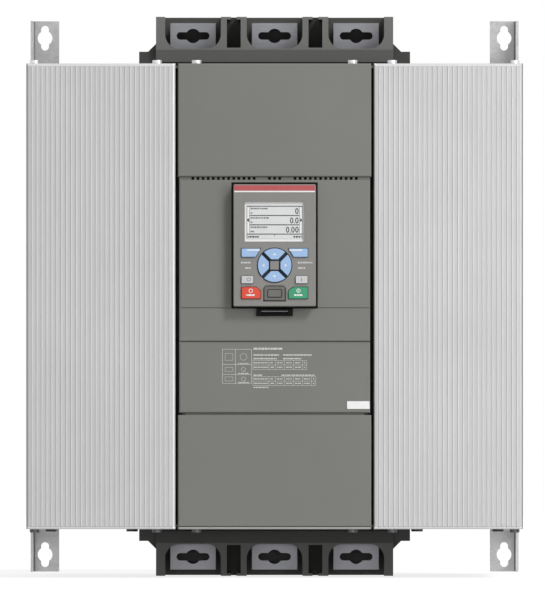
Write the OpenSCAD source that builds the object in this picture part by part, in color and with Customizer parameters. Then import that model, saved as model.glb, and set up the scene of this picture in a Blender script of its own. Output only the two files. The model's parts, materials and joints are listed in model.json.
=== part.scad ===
// Three-phase soft starter for wall mounting, in millimetres.
// X runs to the right, Y runs back to the wall and Z runs up.
// The origin lies on the wall plane, in the middle of the four keyholes, so the front faces -Y.

/* [Enclosure] */
// Overall width across the side covers
overall_w = 435; // [430:1:445]
// Overall height across the two terminal blocks
overall_h = 493; // [488:1:500]
// Depth from the wall to the face of the covers
cover_d = 368; // [355:1:380]
// Width of the centre covers
centre_cover_w = 169.3; // [166:0.1:173]
// Gap between the centre covers and a side cover
cover_gap = 2.3; // [1.5:0.1:3.5]
// Width of the chassis, and of the flanges on the terminal blocks
chassis_w = 239; // [236:1:241]
// Sheet thickness of the chassis and its closing plates
chassis_sheet = 2; // [1.5:0.1:2.4]
// Sheet thickness of the side covers
cover_sheet = 1.5; // [1:0.1:2]
// Outer bend radius of the side covers
bend_r = 2.5; // [2.2:0.1:3.5]
// Depth of the side covers' turned flanges
cover_flange_d = 27; // [22:1:32]
// Wall of the moulded covers and housings
plastic_wall = 2.5; // [2:0.1:3]
// Bevel along the edges of the moulded covers
cover_bevel = 1; // [0.5:0.1:1.5]

/* [Cover ribs] */
// Spacing of the pressed ribs on the side covers
rib_pitch = 4.31; // [3.5:0.01:6]
// Width of a rib at its foot
rib_w = 1.7; // [1.2:0.1:2.4]
// Width of a rib at its tip
rib_tip_w = 0.7; // [0.4:0.1:1]
// Height of a rib
rib_h = 0.7; // [0.4:0.1:1]

/* [Wall mounting] */
// Step from the end of a terminal block down to the end of an ear
ear_drop = 1.5; // [0.5:0.1:4]
// Width of a mounting ear
ear_w = 25.2; // [23:0.1:28]
// From a keyhole's centre to the end of its ear
ear_margin = 15; // [14:0.5:16]
// Step from the side cover's face in to the ear
ear_inset = 0.5; // [0.3:0.1:1]
// Diameter of a keyhole's middle, which a bolt head passes
keyhole_head_d = 13.1; // [12:0.1:15]
// Width of a keyhole's slots, which take the bolt shank
keyhole_slot_w = 7; // [6:0.1:8]
// Length of a keyhole over both slots
keyhole_l = 22; // [20:0.5:24]
// Sheet thickness of the mounting plate
plate_sheet = 2.5; // [2:0.1:3]
// Depth of the mounting plate's side flanges
plate_flange_d = 30; // [24:1:40]
// Inner bend radius of the mounting plate
plate_bend_r = 0.5; // [0.3:0.1:0.7]

/* [Terminals] */
// Spacing of the three phases
phase_pitch = 72; // [71:0.5:74]
// Width of a busbar
bar_w = 40; // [36:0.5:42]
// Thickness of a busbar
bar_t = 10; // [8:0.5:12]
// Depth from the wall to the face of the busbars
bar_face_d = 190; // [186:1:194]
// Step from the end of the terminal block down to the end of a busbar
bar_end_drop = 5.2; // [4:0.1:7]
// Step from the end of the terminal block down to the terminal hole
terminal_hole_drop = 16.5; // [15:0.1:18]
// Diameter of the terminal hole
terminal_hole_d = 12.7; // [11:0.1:14]
// Length of the slot across the terminal hole
terminal_slot_l = 29; // [24:0.5:32]
// Width of that slot
terminal_slot_w = 6.6; // [6:0.1:8]
// Height of a terminal block above the chassis
block_h = 44.3; // [42:0.1:48]
// Width of a terminal block without its flanges
block_w = 209.2; // [207:0.1:214]
// Depth from the wall to the face of a terminal block
block_face_d = 222; // [216:1:230]
// Depth of a terminal block
block_d = 74; // [68:1:80]
// Width of the cable recess in front of a busbar
recess_w = 49.2; // [47:0.1:51]
// Corner radius at the foot of the cable recess
recess_r = 12.8; // [8:0.1:13]
// Depth of the solid end of the block, from its end face to the recess's foot
recess_h = 28.1; // [26:0.1:30]
// Width of the barrier slots between the phases
barrier_slot_w = 12.2; // [10:0.1:13]
// Height of the barrier slots
barrier_slot_h = 24.9; // [22:0.1:25]
// Height of the flanges
block_flange_h = 13.6; // [11:0.1:15]

/* [Cooling] */
// Thickness of a heat sink's base
sink_base_t = 12; // [9:0.5:14]
// Spacing of the fins
fin_pitch = 9; // [7.5:0.5:12]
// Thickness of a fin
fin_t = 2.2; // [1.6:0.1:3]
// Width of the cooling channel that a fan leaves free
fan_room = 14.7; // [12:0.1:20]
// Depth of the fans
fan_depth = 38; // [32:1:42]
// From the side of a fan to its fixing holes
fan_hole_inset = 4.25; // [4:0.05:6]
// Number of fan blades
blade_count = 7; // [5:1:9]
// Pitch angle of a blade
blade_angle = 40; // [30:1:50]

/* [Keypad] */
// Width of the keypad
keypad_w = 72.2; // [70:0.1:74]
// Height of the keypad
keypad_h = 107; // [106:0.1:110]
// Height of the keypad's middle above the origin
keypad_z = 44.6; // [42:0.1:46]
// How far the keypad's face stands out from the covers
keypad_stand = 11.5; // [10:0.5:14]
// How far the keys stand out from the keypad's face
key_proud = 1.5; // [1:0.1:2]
// Wall of the keypad's shells
keypad_wall = 2; // [1.6:0.1:2.4]
// Bevel round the keypad's face
keypad_bevel = 0.7; // [0.5:0.1:1.5]
// Width of the display window
display_w = 52.2; // [48:0.1:55]
// Height of the display window
display_h = 34.7; // [32:0.1:36]
// Outer diameter of the arrow pad
arrow_pad_d = 29.4; // [28:0.1:30]
// Gap between two arrow keys
arrow_gap = 3; // [2.4:0.1:3.6]
// Rim of the black holder round the keypad
holder_rim = 1.2; // [1:0.1:1.8]
// How far a key can be pressed
key_travel = 0.8; // [0.5:0.1:1]

/* [Hidden] */
$fn = 48;
// Room left between pieces that seat on each other
seat = 0.3;
// Room left round a pin that turns in a hole, on the radius
pin_play = 0.05;
// Overlap used where one shape cuts another
cut = 1;

half_w = overall_w / 2;
face_y = -cover_d;
side_in = centre_cover_w / 2 + cover_gap;
block_end = overall_h / 2;
chassis_z = block_end - block_h;
// The covers' turned flanges lie over the ends of the chassis
cover_z = chassis_z + seat + cover_sheet;
chassis_in_z = chassis_z - chassis_sheet;
chassis_x = chassis_w / 2;
chassis_in_x = chassis_x - chassis_sheet;
chassis_setback = 6;
chassis_front_y = face_y + chassis_setback;
gap_relief = 1;
// Depth of the side covers' rounded edge
rim_d = bend_r + 1;
// Side walls of front pieces stay inside this height, to pass under the chassis
tuck_z = chassis_in_z - seat;

// Mounting plate
ear_out = half_w - ear_inset;
keyhole_x = ear_out - ear_w / 2;
ear_z = block_end - ear_drop;
keyhole_z = ear_z - ear_margin;

// Terminals
block_face_y = -block_face_d;
block_back_y = block_face_y + block_d;
block_back_wall = 4;
bar_face_y = -bar_face_d;
bar_back_y = bar_face_y + bar_t;
bar_end_z = block_end - bar_end_drop;
terminal_z = block_end - terminal_hole_drop;
recess_foot_z = block_end - recess_h;
barrier_lip = 2.3;
barrier_slot_d = 52;
barrier_notch_w = 5;
block_shadow_gap = 4.4;
block_shadow_d = 14;
block_slope_d = 5;
block_slope_drop = 1;
block_flange_step = 8;
pocket_rim = 2;
bar_opening_play = 3;
flange_chamfer = 7;

// Cooling
channel_x0 = chassis_x;
outlet_margin = 12;
channel_x1 = ear_out - plate_sheet - seat;
sink_front_gap = 38;
sink_back_gap = 9.5;
plenum_h = 12;
sink_front_y = face_y + sink_front_gap;
sink_back_y = -plate_sheet - sink_back_gap;
fin_tip_x = channel_x1 - outlet_margin;
sink_foot_z = -chassis_in_z + fan_depth + plenum_h;
fin_count = floor((sink_back_y - sink_front_y - fin_t) / fin_pitch) + 1;
fan_gap = 2.1;
fan_wall = 2;
fan_corner_r = 4;
fan_size = channel_x1 - channel_x0 - fan_room;
fan_hole_pitch = fan_size - 2 * fan_hole_inset;
fan_x = channel_x0 + fan_gap + fan_size / 2;
fan_y = (sink_front_y + sink_back_y) / 2;
fan_bore = fan_size - 2 * fan_wall;
fan_z0 = -chassis_in_z;
fan_z1 = fan_z0 + fan_depth;
strut_t = 4;
strut_w = 4;
hub_d = fan_size / 2;
hub_drop = 6;
hub_h = fan_depth - strut_t - hub_drop;
hub_wall = 2;
shaft_d = 6;
shaft_rise = 4;
blade_t = 1.6;
blade_gap = 1.2;
blade_tip_r = fan_bore / 2 - blade_gap;
closing_y0 = face_y + rim_d;
closing_y1 = -plate_sheet - seat;

// Fasteners
screw_head_d = 8.4;
screw_head_h = 3;
screw_shank_d = 4;
screw_hole_d = 4.4;
screw_l = cover_sheet + seat + chassis_sheet;
screw_y = face_y + cover_flange_d / 2;
screw_out_inset = 7;
screw_in_inset = 16;
centre_screw_inset = 16.35;
hex_w = 4;
hex_depth = 1.6;
side_screw_out_x = half_w - screw_out_inset;
side_screw_in_x = side_in + screw_in_inset;
centre_screw_x = centre_cover_w / 2 - centre_screw_inset;
rivet_head_d = 10;
rivet_head_h = 5.3;
rivet_shank_d = 4;
rivet_hole_d = 4.4;
rivet_l = 14;

// Centre covers, from the top down
vent_band_h = 2.3;
vent_band_d = 1.5;
upper_cover_z0 = 104.6;
middle_cover_z1 = upper_cover_z0 - seat;
middle_cover_z0 = -39.7;
label_cover_z1 = middle_cover_z0 - 0.4;
label_cover_z0 = -102.2;
lower_seam = 1.8;
lower_cover_z1 = label_cover_z0 - lower_seam;
lap_h = 4;
cover_wall_d = 25;
centre_x = centre_cover_w / 2;
middle_step = 1;
middle_x = centre_x - middle_step;
groove_w = 1.6;
groove_d = 0.8;
keypad_groove_z = -10.3;
vent_pitch = 4.475;
vent_w = 2.3;
vent_side_count = 16;
lip_h = 1.6;
lip_gap = 1.2;

// Housing behind the covers
housing_x = middle_x - plastic_wall - seat;
housing_z = tuck_z;
housing_front_y = face_y + plastic_wall + seat;
housing_d = 50;
housing_back_y = face_y + housing_d;
boss_d = 8;
boss_h = 6;
board_t = 1.6;
board_w = 130;
board_margin_z = 50;
board_h = 2 * (tuck_z - board_margin_z);
boss_x = 55;
boss_inset_z = 15;
boss_z = board_h / 2 - boss_inset_z;
connector_count = 9;
connector_pitch = 13;
connector_inset = 12;
connector = [11, 10, 16];
chip = [40, 3, 30];
chip_z = -40;
choke_count = 6;
choke_pitch = 20;
choke = [16, 12, 24];
choke_z = 60;

// Keypad
keypad_face_y = face_y - keypad_stand;
key_face_y = keypad_face_y - key_proud;
keypad_split_d = 2;
keypad_sink_d = 16;
keypad_split_y = face_y + keypad_split_d;
keypad_back_y = face_y + keypad_sink_d;
keypad_x = keypad_w / 2;
keypad_corner_r = 1.5;
holder_play = 0.25;
holder_x = keypad_x + holder_play + holder_rim;
holder_z = keypad_h / 2 + holder_play + holder_rim;
holder_floor = 2;
holder_proud = 0.6;
holder_back_y = keypad_back_y + seat + holder_floor;
holder_flange = 3;
holder_flange_t = 2;
display_up = 20.7;
display_t = 4;
display_rim = 3;
display_foot = 2;
window_sink = 0.3;
window_gap = 0.1;
display_z = keypad_z + display_up;
keypad_board_y = keypad_face_y + keypad_wall + display_t;
key_flange = 0.9;
key_flange_t = 1;
key_play = 0.5;

// Key places, measured from the keypad's middle line and from its middle height
soft_key_z = -6.4;
soft_key_h = 7.3;
key_out_x = 28.9;
soft_key_in_x = 12.4;
soft_key_slant = 4.2;
arrow_z = -17.4;
arrow_in = 5.1;
arrow_rim = 0.8;
arrow_island = 3.8;
arrow_groove_d = 1.2;
small_key_z = -29.9;
small_key_h = 6.5;
small_key_w = 10.3;
small_key_r = 0.8;
command_key_z = -41.6;
command_key_h = 10;
command_key_w = 16.6;
command_key_cut = [4, 3.2];
flap_w = 19.2;
flap_h = 13.2;
flap_z = -42.1;
flap_play = 0.5;
flap_corner_r = 3.2;
flap_t = 2;
flap_pin_d = 1.2;
flap_pin_l = 1.5;
flap_tab_w = 12;
flap_tab_h = 6.4;
flap_tab_proud = 0.8;
flap_tab_r = 1;
flap_groove_w = 0.7;
flap_groove_d = 0.9;
flap_pocket_wall = 0.6;
socket_w = 8;
socket_h = 3.2;
socket_wall = 0.5;
socket_tongue = [5, 0.8];
socket_tongue_drop = 0.6;

// Release latch under the keypad
latch_w = 31.4;
latch_h = 6.4;
latch_proud = 3;
latch_z1 = keypad_z - holder_z - seat;
latch_d = 12;
latch_grip_h = 0.9;
latch_grip_gap = 1.8;
latch_rim = 4;
latch_rim_h = 1.4;
latch_recess_d = 2;
latch_hook = 2;
latch_hook_gap = 5;

// Inside the chassis
module_end_gap = 90.2;
module_z = chassis_in_z - module_end_gap;
module_h = 60;
module_d = 110;
module_t = 40;
module_back_y = -50;
window_play = 1;
module_cap_h = 6;
module_cap_inset = 8;
strap_t = 3;
strap_h = 30;
bar_foot_z = 30;
middle_strap_z0 = 3;
middle_strap_z1 = 25;
bar_lap = 20;
transformer_w = 68;
transformer_d = 48;
transformer_h = 30;
transformer_r = 8;
transformer_drop = 40.2;
transformer_z = -chassis_in_z + transformer_drop;
contactor_room = 11.5;
contactor_w = 2 * (chassis_in_x - contactor_room);
contactor_h = 150;
contactor_gap = 18.4;
contactor_front_y = housing_back_y + boss_h + board_t + choke[1] + contactor_gap;
contactor_d = bar_face_y - contactor_front_y;
contactor_base_d = contactor_d * 5 / 9;
contactor_pole_d = contactor_d * 2 / 7;
contactor_pole_rim = 8;
contactor_pole_inset = 12;
contactor_head_inset = 20;
contactor_head_h = 60;

// Extrusions

// A front view outline in X and Z, extruded from y0 back to y1
module front_extrude(y0, y1) {
    translate([0, y1, 0]) rotate([90, 0, 0]) linear_extrude(y1 - y0) children();
}

// A side view outline in Y and Z, extruded from x0 to x1
module side_extrude(x0, x1) {
    translate([x0, 0, 0]) rotate([90, 0, 90]) linear_extrude(x1 - x0) children();
}

// A plan outline in X and Y, extruded from z0 up to z1
module plan_extrude(z0, z1) {
    translate([0, 0, z0]) linear_extrude(z1 - z0) children();
}

// A box between two corners
module box(low, high) {
    translate(low) cube(high - low);
}

// A rectangle between two corners
module rect(low, high) {
    translate(low) square(high - low);
}

// A rectangle round the origin with round corners
module round_rect(w, h, r) {
    square([w - 2 * r, h], center = true);
    square([w, h - 2 * r], center = true);
    for (x = [-1, 1], y = [-1, 1]) translate([x * (w / 2 - r), y * (h / 2 - r)]) circle(r);
}

// A slot along the first axis with round ends
module slot(l, w) {
    square([l - w, w], center = true);
    for (x = [-1, 1]) translate([x * (l - w) / 2, 0]) circle(d = w);
}

// A rectangle whose two corners at low v are round
module round_front(u0, u1, v0, v1, r) {
    rect([u0, v0 + r], [u1, v1]);
    rect([u0 + r, v0], [u1 - r, v0 + r + 0.01]);
    for (u = [u0 + r, u1 - r]) translate([u, v0 + r]) circle(r);
}

// A rectangle whose two corners at low v are bevelled
module bevel_front(u0, u1, v0, v1, b) {
    polygon([[u0, v1], [u0, v0 + b], [u0 + b, v0], [u1 - b, v0], [u1, v0 + b], [u1, v1]]);
}

// A slab that faces the front, with its four front edges bevelled
module bevelled_slab(x, z0, z1, y0, y1, b) {
    intersection() {
        plan_extrude(z0, z1) bevel_front(-x, x, y0, y1, b);
        side_extrude(-x - cut, x + cut) rotate(90) mirror([0, 1]) bevel_front(z0, z1, y0, y1, b);
    }
}

// The same shape on the left when side is -1, and as drawn on the right when side is 1
module on_side(side) {
    mirror([side < 0 ? 1 : 0, 0, 0]) children();
}

// The same shape below when end is -1, and as drawn above when end is 1
module on_end(end) {
    mirror([0, 0, end < 0 ? 1 : 0]) children();
}

// Frame and cooling

// Keyhole outline: a round middle with a slot above and below
module keyhole() {
    circle(d = keyhole_head_d);
    rotate(90) slot(keyhole_l, keyhole_slot_w);
}

// Plan of the mounting plate: a shallow channel that opens to the front
module plate_plan() {
    mirror([0, 1]) difference() {
        round_front(-ear_out, ear_out, 0, plate_flange_d, plate_bend_r + plate_sheet);
        round_front(plate_sheet - ear_out, ear_out - plate_sheet, plate_sheet, plate_flange_d + cut,
            plate_bend_r);
    }
}

// Front view of the mounting plate with its ears
module plate_outline() {
    rect([-ear_out, -cover_z], [ear_out, cover_z]);
    for (x = [-1, 1]) translate([x * keyhole_x, 0]) square([ear_w, 2 * ear_z], center = true);
}

// Back plate with four ears and a flange down each side, folded from one sheet
module mounting_plate() color("silver") {
    difference() {
        intersection() {
            plan_extrude(-ear_z, ear_z) plate_plan();
            front_extrude(-plate_flange_d - cut, cut) plate_outline();
        }
        for (x = [-1, 1], z = [-1, 1]) translate([x * keyhole_x, 0, z * keyhole_z])
            front_extrude(-plate_sheet - cut, cut) keyhole();
    }
}

// Openings in the chassis walls, through which the thyristors sit on the heat sinks
module module_windows() {
    for (z = [-1, 0, 1]) translate([0, 0, z * module_z])
        box([-chassis_x - cut, module_back_y - module_d - window_play, -module_h / 2 - window_play],
            [chassis_x + cut, module_back_y + window_play, module_h / 2 + window_play]);
}

// Openings in the chassis ends, through which the busbars pass
module bar_openings() {
    for (i = [-1, 0, 1]) translate([i * phase_pitch, (bar_face_y + bar_back_y) / 2, 0])
        cube([bar_w + 2 * bar_opening_play, bar_t + 2 * bar_opening_play, 2 * chassis_z + 2 * cut],
            center = true);
}

// Welded sheet frame: two walls and two ends between the mounting plate and the front
module chassis() color("lightgray") {
    difference() {
        box([-chassis_x, chassis_front_y, -chassis_z], [chassis_x, -plate_sheet, chassis_z]);
        box([-chassis_in_x, chassis_front_y - cut, -chassis_in_z], [chassis_in_x, cut, chassis_in_z]);
        module_windows();
        bar_openings();
        for (end = [-1, 1], x = [-side_screw_in_x, -centre_screw_x, centre_screw_x, side_screw_in_x])
            on_end(end) translate([x, screw_y, chassis_z - screw_l])
                cylinder(d = screw_hole_d, h = screw_l + cut);
        for (side = [-1, 1]) on_side(side)
            box([centre_cover_w / 2 - gap_relief, chassis_front_y - cut, -chassis_z - cut],
                [side_in + gap_relief, face_y + cover_flange_d, chassis_z + cut]);
    }
}

// Plan of a heat sink: a thick base on the chassis wall and a row of fins pointing out
module sink_plan() {
    rect([channel_x0, sink_front_y], [channel_x0 + sink_base_t, sink_back_y]);
    for (i = [0 : fin_count - 1]) translate([0, sink_front_y + i * fin_pitch])
        rect([channel_x0 + sink_base_t - cut, 0], [fin_tip_x, fin_t]);
}

// Extruded heat sink
module heat_sink(side) color("gainsboro") {
    on_side(side) plan_extrude(sink_foot_z, chassis_in_z) sink_plan();
}

// Holes for the two side cover screws near the front edge of a closing plate
module closing_screw_hole() {
    translate([side_screw_out_x, screw_y, chassis_in_z - cut])
        cylinder(d = screw_hole_d, h = chassis_sheet + 2 * cut);
}

// Plate that closes one end of a cooling channel, before its air opening is cut
module closing_plate() {
    difference() {
        box([channel_x0, closing_y0, chassis_in_z], [channel_x1, closing_y1, chassis_z]);
        closing_screw_hole();
    }
}

// Frame at the top of a cooling channel, open above the fins
module air_outlet(side) color("lightgray") {
    on_side(side) difference() {
        closing_plate();
        box([channel_x0 + sink_base_t, sink_front_y, chassis_in_z - cut],
            [fin_tip_x, sink_back_y, chassis_z + cut]);
    }
}

// Places of the four holes round a fan
module at_fan_holes() {
    for (x = [-1, 1], y = [-1, 1])
        translate([fan_x + x * fan_hole_pitch / 2, fan_y + y * fan_hole_pitch / 2, 0]) children();
}

// Plate at the foot of a cooling channel, which carries the fan
module fan_plate(side) color("lightgray") {
    on_side(side) on_end(-1) difference() {
        closing_plate();
        translate([fan_x, fan_y, chassis_in_z - cut]) cylinder(d = fan_bore, h = chassis_sheet + 2 * cut);
        at_fan_holes() translate([0, 0, chassis_in_z - cut])
            cylinder(d = rivet_hole_d, h = chassis_sheet + 2 * cut);
    }
}

// Square fan frame with a round bore, four struts and the motor's disc and shaft
module fan_frame(side) color("dimgray") on_side(side) {
    difference() {
        plan_extrude(fan_z0, fan_z1) translate([fan_x, fan_y]) round_rect(fan_size, fan_size, fan_corner_r);
        translate([fan_x, fan_y, fan_z0 - cut]) cylinder(d = fan_bore, h = fan_depth + 2 * cut);
        at_fan_holes() translate([0, 0, fan_z0 - cut]) cylinder(d = rivet_hole_d, h = fan_depth + 2 * cut);
    }
    translate([fan_x, fan_y, fan_z1 - strut_t]) {
        cylinder(d = hub_d, h = strut_t);
        for (a = [45 : 90 : 315]) rotate(a) translate([hub_d / 2 - hub_wall, -strut_w / 2, 0])
            cube([fan_bore / 2 - hub_d / 2 + hub_wall + cut, strut_w, strut_t]);
        translate([0, 0, -hub_h + shaft_rise]) cylinder(d = shaft_d, h = hub_h);
    }
}

// One flat blade, cut off round at the hub and at the tip
module fan_blade() {
    intersection() {
        rotate([blade_angle, 0, 0]) translate([0, -hub_h / 2.6, -blade_t / 2])
            cube([fan_size, hub_h / 1.3, blade_t]);
        difference() {
            cylinder(r = blade_tip_r, h = hub_h, center = true);
            cylinder(d = hub_d - hub_wall, h = hub_h + cut, center = true);
        }
    }
}

// Fan impeller on its blind bore
module fan_rotor(side) color("black") on_side(side)
    translate([fan_x, fan_y, fan_z1 - strut_t - seat - hub_h]) {
        difference() {
            cylinder(d = hub_d, h = hub_h);
            translate([0, 0, hub_wall]) cylinder(d = shaft_d + 2 * pin_play, h = hub_h);
        }
        for (i = [0 : blade_count - 1])
            rotate(i * 360 / blade_count) translate([0, 0, hub_h / 2]) fan_blade();
    }

// Covers

// Shell of a side cover near its face, round on all four edges
module side_cover_shell(inset, depth) {
    r = bend_r - inset;
    intersection() {
        plan_extrude(-cover_z, cover_z)
            round_front(side_in + inset, half_w - inset, face_y + inset, face_y + depth, r);
        side_extrude(side_in - cut, half_w + cut) rotate(90) mirror([0, 1])
            round_front(-cover_z + inset, cover_z - inset, face_y + inset, face_y + depth, r);
    }
}

// Row of pressed ribs on the face of a side cover
module cover_ribs() {
    span = half_w - side_in - 2 * bend_r;
    count = floor(span / rib_pitch);
    first = (half_w + side_in) / 2 - (count - 1) * rib_pitch / 2;
    last = first + (count - 1) * rib_pitch;
    tooth = [[-rib_w / 2, 0], [-rib_tip_w / 2, -rib_h], [rib_tip_w / 2, -rib_h], [rib_w / 2, 0]];
    teeth = [for (i = [0 : count - 1], p = tooth) [first + i * rib_pitch + p[0], face_y + p[1]]];
    back = face_y + cover_sheet / 2;
    plan_extrude(-cover_z + bend_r, cover_z - bend_r)
        polygon(concat([[first - rib_w, back], [first - rib_w, face_y]], teeth,
            [[last + rib_w, face_y], [last + rib_w, back]]));
}

// Folded side cover: ribbed face, full outer wall, turned flanges at the other edges
module side_cover(side) color("silver") on_side(side) {
    flange_y = face_y + cover_flange_d;
    difference() {
        side_cover_shell(0, rim_d);
        side_cover_shell(cover_sheet, rim_d + cut);
    }
    cover_ribs();
    box([half_w - cover_sheet, face_y + rim_d, -cover_z], [half_w, -plate_flange_d - seat, cover_z]);
    box([side_in, face_y + rim_d, -tuck_z], [side_in + cover_sheet, flange_y, tuck_z]);
    for (end = [-1, 1]) on_end(end) difference() {
        box([side_in, face_y + rim_d, cover_z - cover_sheet], [half_w, flange_y, cover_z]);
        for (x = [side_screw_in_x, side_screw_out_x])
            translate([x, screw_y, cover_z - cover_sheet - cut])
                cylinder(d = screw_hole_d, h = cover_sheet + 2 * cut);
    }
}

// Open-backed moulded cover between two heights
module cover_shell(x, z0, z1) {
    difference() {
        bevelled_slab(x, z0, z1, face_y, face_y + cover_wall_d, cover_bevel);
        box([-x + plastic_wall, face_y + plastic_wall, z0 - cut], [x - plastic_wall, 0, z1 + cut]);
        for (end = [-1, 1]) on_end(end)
            box([-x - cut, chassis_front_y - seat, tuck_z], [x + cut, 0, cover_z + cut]);
    }
}

// Turned end of the upper or lower cover, with its two screw holes
module cover_end() {
    difference() {
        box([-centre_x, face_y + cover_bevel, cover_z - cover_sheet],
            [centre_x, face_y + cover_flange_d, cover_z]);
        for (x = [-1, 1]) translate([x * centre_screw_x, screw_y, cover_z - cover_sheet - cut])
            cylinder(d = screw_hole_d, h = cover_sheet + 2 * cut);
    }
}

// Cover over the line terminals' end of the chassis
module upper_cover() color("dimgray") {
    cover_shell(centre_x, upper_cover_z0, cover_z);
    cover_end();
}

// Strip behind the seam over the lower cover, which laps the cover above it
module seam_lap() {
    lap_x = housing_x - plastic_wall - seat;
    back_y = face_y + 2 * plastic_wall;
    box([-lap_x, face_y + plastic_wall - seat, lower_cover_z1 - lap_h], [lap_x, back_y, lower_cover_z1]);
    box([-lap_x, face_y + plastic_wall + seat, lower_cover_z1 - seat],
        [lap_x, back_y, label_cover_z0 + lap_h]);
}

// Cover over the load terminals' end, with a lip under a shadow gap
module lower_cover() color("dimgray") {
    seam_lap();
    difference() {
        cover_shell(centre_x, -cover_z, lower_cover_z1);
        box([-centre_x - cut, face_y - cut, -cover_z + lip_h],
            [centre_x + cut, face_y + plastic_wall / 2, -cover_z + lip_h + lip_gap]);
    }
    on_end(-1) cover_end();
}

// Row of square air vents along the seam; two blank stretches hold the snap hooks
module vents() {
    for (i = [-vent_side_count : vent_side_count]) if (abs(i) < 2 || abs(i) > 3)
        translate([i * vent_pitch, 0, 0])
            box([-vent_w / 2, face_y - cut, middle_cover_z1 - vent_band_h],
                [vent_w / 2, face_y + plastic_wall + cut, middle_cover_z1 + cut]);
}

// Cover round the keypad
module middle_cover() color("gray") {
    opening_x = holder_x + seat;
    difference() {
        cover_shell(middle_x, middle_cover_z0, middle_cover_z1);
        box([-middle_x - cut, face_y - cut, middle_cover_z1 - vent_band_h],
            [middle_x + cut, face_y + vent_band_d, middle_cover_z1 + cut]);
        vents();
        box([-opening_x, face_y - cut, keypad_z - holder_z - seat],
            [opening_x, face_y + plastic_wall + cut, keypad_z + holder_z + seat]);
        box([-latch_w / 2 - seat, face_y - cut, latch_z1 - latch_h - seat],
            [latch_w / 2 + seat, face_y + plastic_wall + cut, latch_z1 + cut]);
        box([-middle_x - cut, face_y - cut, keypad_groove_z - groove_w / 2],
            [middle_x + cut, face_y + groove_d, keypad_groove_z + groove_w / 2]);
    }
}

// Cover that carries the rating print
module label_cover() color("gray") {
    difference() {
        cover_shell(middle_x, label_cover_z0, label_cover_z1);
        box([-middle_x - cut, face_y - cut, label_cover_z1 - groove_w],
            [middle_x + cut, face_y + groove_d, label_cover_z1 + cut]);
    }
}

// Tray behind the covers, which carries the two boards on bosses
module control_housing() color("dimgray") {
    difference() {
        box([-housing_x, housing_front_y, -housing_z], [housing_x, housing_back_y, housing_z]);
        box([-housing_x + plastic_wall, housing_front_y - cut, -housing_z + plastic_wall],
            [housing_x - plastic_wall, housing_back_y - plastic_wall, housing_z - plastic_wall]);
    }
    for (x = [-1, 1], z = [-1, 1]) translate([x * boss_x, 0, z * boss_z]) {
        front_extrude(housing_back_y - plastic_wall - boss_h, housing_back_y) circle(d = boss_d);
        front_extrude(housing_back_y - seat, housing_back_y + boss_h) circle(d = boss_d);
    }
    for (x = [-1, 1]) on_side(x)
        box([housing_x - seat, housing_back_y - plastic_wall, -housing_z],
            [chassis_in_x - seat, housing_back_y, housing_z]);
}

// Terminals

// Outline of a cable recess, open at the end of the block
module recess_outline() {
    translate([0, recess_foot_z]) {
        rect([-recess_w / 2, recess_r], [recess_w / 2, recess_h + cut]);
        rect([-recess_w / 2 + recess_r, 0], [recess_w / 2 - recess_r, recess_r + 0.01]);
        for (x = [-1, 1]) translate([x * (recess_w / 2 - recess_r), recess_r]) circle(recess_r);
    }
}

// Slot for a phase barrier, with the notch that holds its foot
module barrier_slot() {
    slot_top = block_end - barrier_lip;
    box([-barrier_slot_w / 2, block_face_y - cut, slot_top - barrier_slot_h],
        [barrier_slot_w / 2, block_face_y + barrier_slot_d, slot_top]);
    box([-barrier_notch_w / 2, block_face_y - cut, slot_top - cut],
        [barrier_notch_w / 2, block_face_y + barrier_slot_d, block_end + cut]);
}

// Front outline of the flanges at both ends of a block, with their gussets
module flange_outline() {
    top = chassis_z + block_flange_h;
    inner = block_w / 2;
    knee = inner + flange_chamfer;
    polygon([[-chassis_x, chassis_z], [-chassis_x, top], [-knee, top], [-inner, top + flange_chamfer],
        [inner, top + flange_chamfer], [knee, top], [chassis_x, top], [chassis_x, chassis_z]]);
}

// Side view of a block: its face slopes back under the recesses, over a shadow gap
module block_profile() {
    slope_top = recess_foot_z - block_slope_drop;
    gap_top = chassis_z + block_shadow_gap;
    polygon([[block_back_y, chassis_z], [block_back_y, block_end], [block_face_y, block_end],
        [block_face_y, slope_top], [block_face_y + block_slope_d, gap_top],
        [block_face_y + block_shadow_d, gap_top], [block_face_y + block_shadow_d, chassis_z]]);
}

// Pocket behind a busbar's end, which holds the nut of the terminal bolt
module nut_pocket() {
    pocket_back_y = block_back_y - block_back_wall;
    difference() {
        box([-bar_w / 2 + pocket_rim, bar_back_y + seat, recess_foot_z - cut],
            [bar_w / 2 - pocket_rim, pocket_back_y + cut, bar_end_z - pocket_rim]);
        translate([0, 0, terminal_z]) front_extrude(bar_back_y, pocket_back_y) terminal_hole();
    }
}

// Moulded terminal block with three cable recesses
module terminal_block(end) color("dimgray") on_end(end) {
    difference() {
        union() {
            side_extrude(-block_w / 2, block_w / 2) block_profile();
            front_extrude(block_face_y + block_flange_step, block_back_y - block_flange_step)
                flange_outline();
        }
        box([-block_w / 2, block_face_y - cut, chassis_z - cut],
            [block_w / 2, block_face_y + block_shadow_d, chassis_z + block_shadow_gap]);
        for (i = [-1, 0, 1]) translate([i * phase_pitch, 0, 0]) {
            front_extrude(block_face_y - cut, block_back_y - block_back_wall) recess_outline();
            box([-bar_w / 2 - seat, bar_face_y - seat, chassis_z - cut],
                [bar_w / 2 + seat, bar_back_y + seat, recess_foot_z + recess_r]);
        }
        for (i = [-1, 1]) translate([i * phase_pitch / 2, 0, 0]) barrier_slot();
    }
    for (i = [-1, 0, 1]) translate([i * phase_pitch, 0, 0]) nut_pocket();
}

// Terminal hole outline: a round hole with a slot across it
module terminal_hole() {
    circle(d = terminal_hole_d);
    slot(terminal_slot_l, terminal_slot_w);
}

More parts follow.
